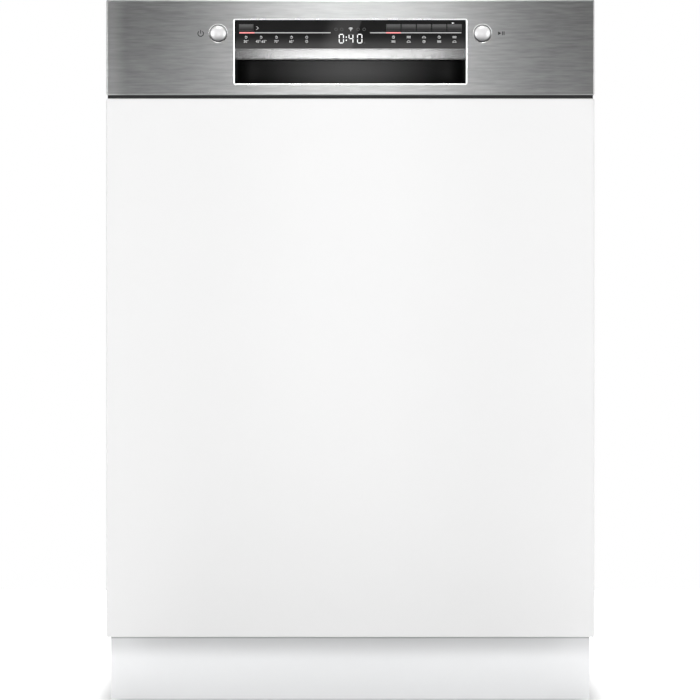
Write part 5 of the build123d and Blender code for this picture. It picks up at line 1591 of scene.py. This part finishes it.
# %% Feet
def threaded(middle, low_z, high_z, radius, pitch, depth):
    profile = [(radius - depth, low_z)]
    z = low_z + pitch * 0.25
    while z + pitch < high_z:
        profile += [(radius, z), (radius, z + pitch * 0.2), (radius - depth, z + pitch * 0.6)]
        z += pitch
    return turned(profile + [(radius - depth, high_z)], 20, middle)


for node in feet:
    low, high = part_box(node)
    x, y, floor, pad_r = (low.x + high.x) / 2, (low.y + high.y) / 2, low.z, (high.x - low.x) / 2
    stem = threaded((x, y, 0), floor + 5 * MM, high.z, 8 * MM, 2.2 * MM, 0.9 * MM)
    nut = slab(circle((x, y), 12.5 * MM, 6), floor + 3 * MM, floor + 5.9 * MM, 0.5 * MM, lying)
    pad = counted_from(pad_r, floor, (-1.5, 0), (0, 1.2), (0, 3.6), (-5, 4.2))
    pad.append((9 * MM, floor + 4.4 * MM))
    add_piece(f"{node}_stem", [stem, nut], hinge_steel, node, [node])
    add_piece(f"{node}_pad", [turned(pad, 40, (x, y, 0))], black_plastic, node)
print("feet:", len(feet))

# %% [markdown]
# The door's springs are real coils: a wire carried along a helix, ten points to the turn.

# %% Springs
spring_low, spring_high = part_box("door_springs")
spring_z, length = (spring_low.z + spring_high.z) / 2, spring_high.y - spring_low.y - 3 * MM
turns, coil_r, coils = 26, 7.8 * MM, []
for side in (-1, 1):
    x, path = side * (spring_high.x - 9 * MM), []
    for k in range(turns * 10 + 1):
        angle = 2 * math.pi * k / 10
        y = spring_low.y + 1.5 * MM + length * k / (turns * 10)
        path.append((x + coil_r * math.cos(angle), y, spring_z + coil_r * math.sin(angle)))
    coils.append(bent(path, 1.15 * MM, 0.4 * MM, sides=6))
add_piece("spring_coils", coils, hinge_steel, "cabinet", ["door_springs"], crease=60)
print("springs:", len(coils), "coils of", turns, "turns")

# %% [markdown]
# ## Outside of the cabinet
# The side, rear and top sheets are plain zinc-coated steel with pressed beads. Nobody sees them
# once the machine stands in its niche, but they are what one sees before that.

# %% Beads of the outer sheets
side_x, rear_y, top_z = (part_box(name)[1]["xyz".index(axis)] for name, axis in (
    ("side_panels", "x"), ("rear_panel", "y"), ("top_panel", "z")))
outer_beads = []
for y in (-0.120, 0.035, 0.190):
    strip = round_rect((y - 9 * MM, 0.150), (y + 9 * MM, 0.800), 8.8 * MM)
    outer_beads += both_sides(strip, side_x, 0.7 * MM, sunk, 0.55 * MM)
for x in (-0.20, -0.07, 0.07, 0.20):
    strip = round_rect((x - 10 * MM, 0.190), (x + 10 * MM, 0.800), 9.8 * MM)
    outer_beads.append(slab(strip, rear_y - sunk, rear_y + 1.6 * MM, 1.2 * MM))
for x in (-0.15, 0.0, 0.15):
    strip = round_rect((x - 9 * MM, -0.110), (x + 9 * MM, 0.225), 8.8 * MM)
    outer_beads.append(slab(strip, top_z - sunk, top_z + 1.2 * MM, 0.9 * MM, lying))
add_piece("outer_beads", outer_beads, zinc_sheet, "cabinet", crease=50)
print("outer beads:", len(outer_beads))

# %% [markdown]
# The sheets are held by low round screws. A head is turned, and its cross recess is a dark cross
# of two thin blocks, painted shade that reads as a recess without cutting the head.

# %% Screws
def add_screws(name, body, places):
    """Screws at (place, facing, height of the head), as a piece of heads and one of dark crosses that
    paint the recess shade.
    """
    heads, recess_shade_crosses = [], []
    radius = 4.2 * MM
    for place, facing, height in places:
        profile = [(radius, 0), (radius, height * 0.4), (radius * 0.8, height * 0.85),
                   (radius * 0.4, height), (radius * 0.1, height)]
        heads.append(turned(profile, 24, place, facing))
        # Painted shade: the recess is a dark cross laid on the head.
        for a, b in ((radius * 0.52, radius * 0.13), (radius * 0.13, radius * 0.52)):
            cross = box_slab((-a, -b, height * 0.8), (a, b, height * 1.02), 0.05 * MM, 0.08 * MM,
                             lying)
            recess_shade_crosses.append(moved(cross, place, facing_turn(facing)))
    add_piece(f"{name}_heads", heads, hinge_steel, body, crease=45)
    add_piece(f"{name}_recesses", recess_shade_crosses, black_plastic, body)
    print(f"{name}: {len(heads)}")


places = [((x, rear_y, z), (0, 1, 0), 1.6 * MM) for x in (-0.285, -0.135, 0.0, 0.135, 0.285)
          for z in (0.165, 0.845)]
places += [((side * side_x, y, z), (side, 0, 0), 0.7 * MM) for y in (-0.185, 0.050, 0.255)
           for side in (-1, 1) for z in (0.110, 0.845)]
places += [((x, -0.150, top_z), (0, 0, 1), 1.2 * MM) for x in (-0.222, -0.178, 0.178, 0.222)]
add_screws("screw", "cabinet", places)
add_screws("door_screw", "door", [((side * 0.272, liner_y, z), (0, 1, 0), 1.2 * MM)
                                  for side in (-1, 1) for z in (0.200, 0.505, 0.812)])
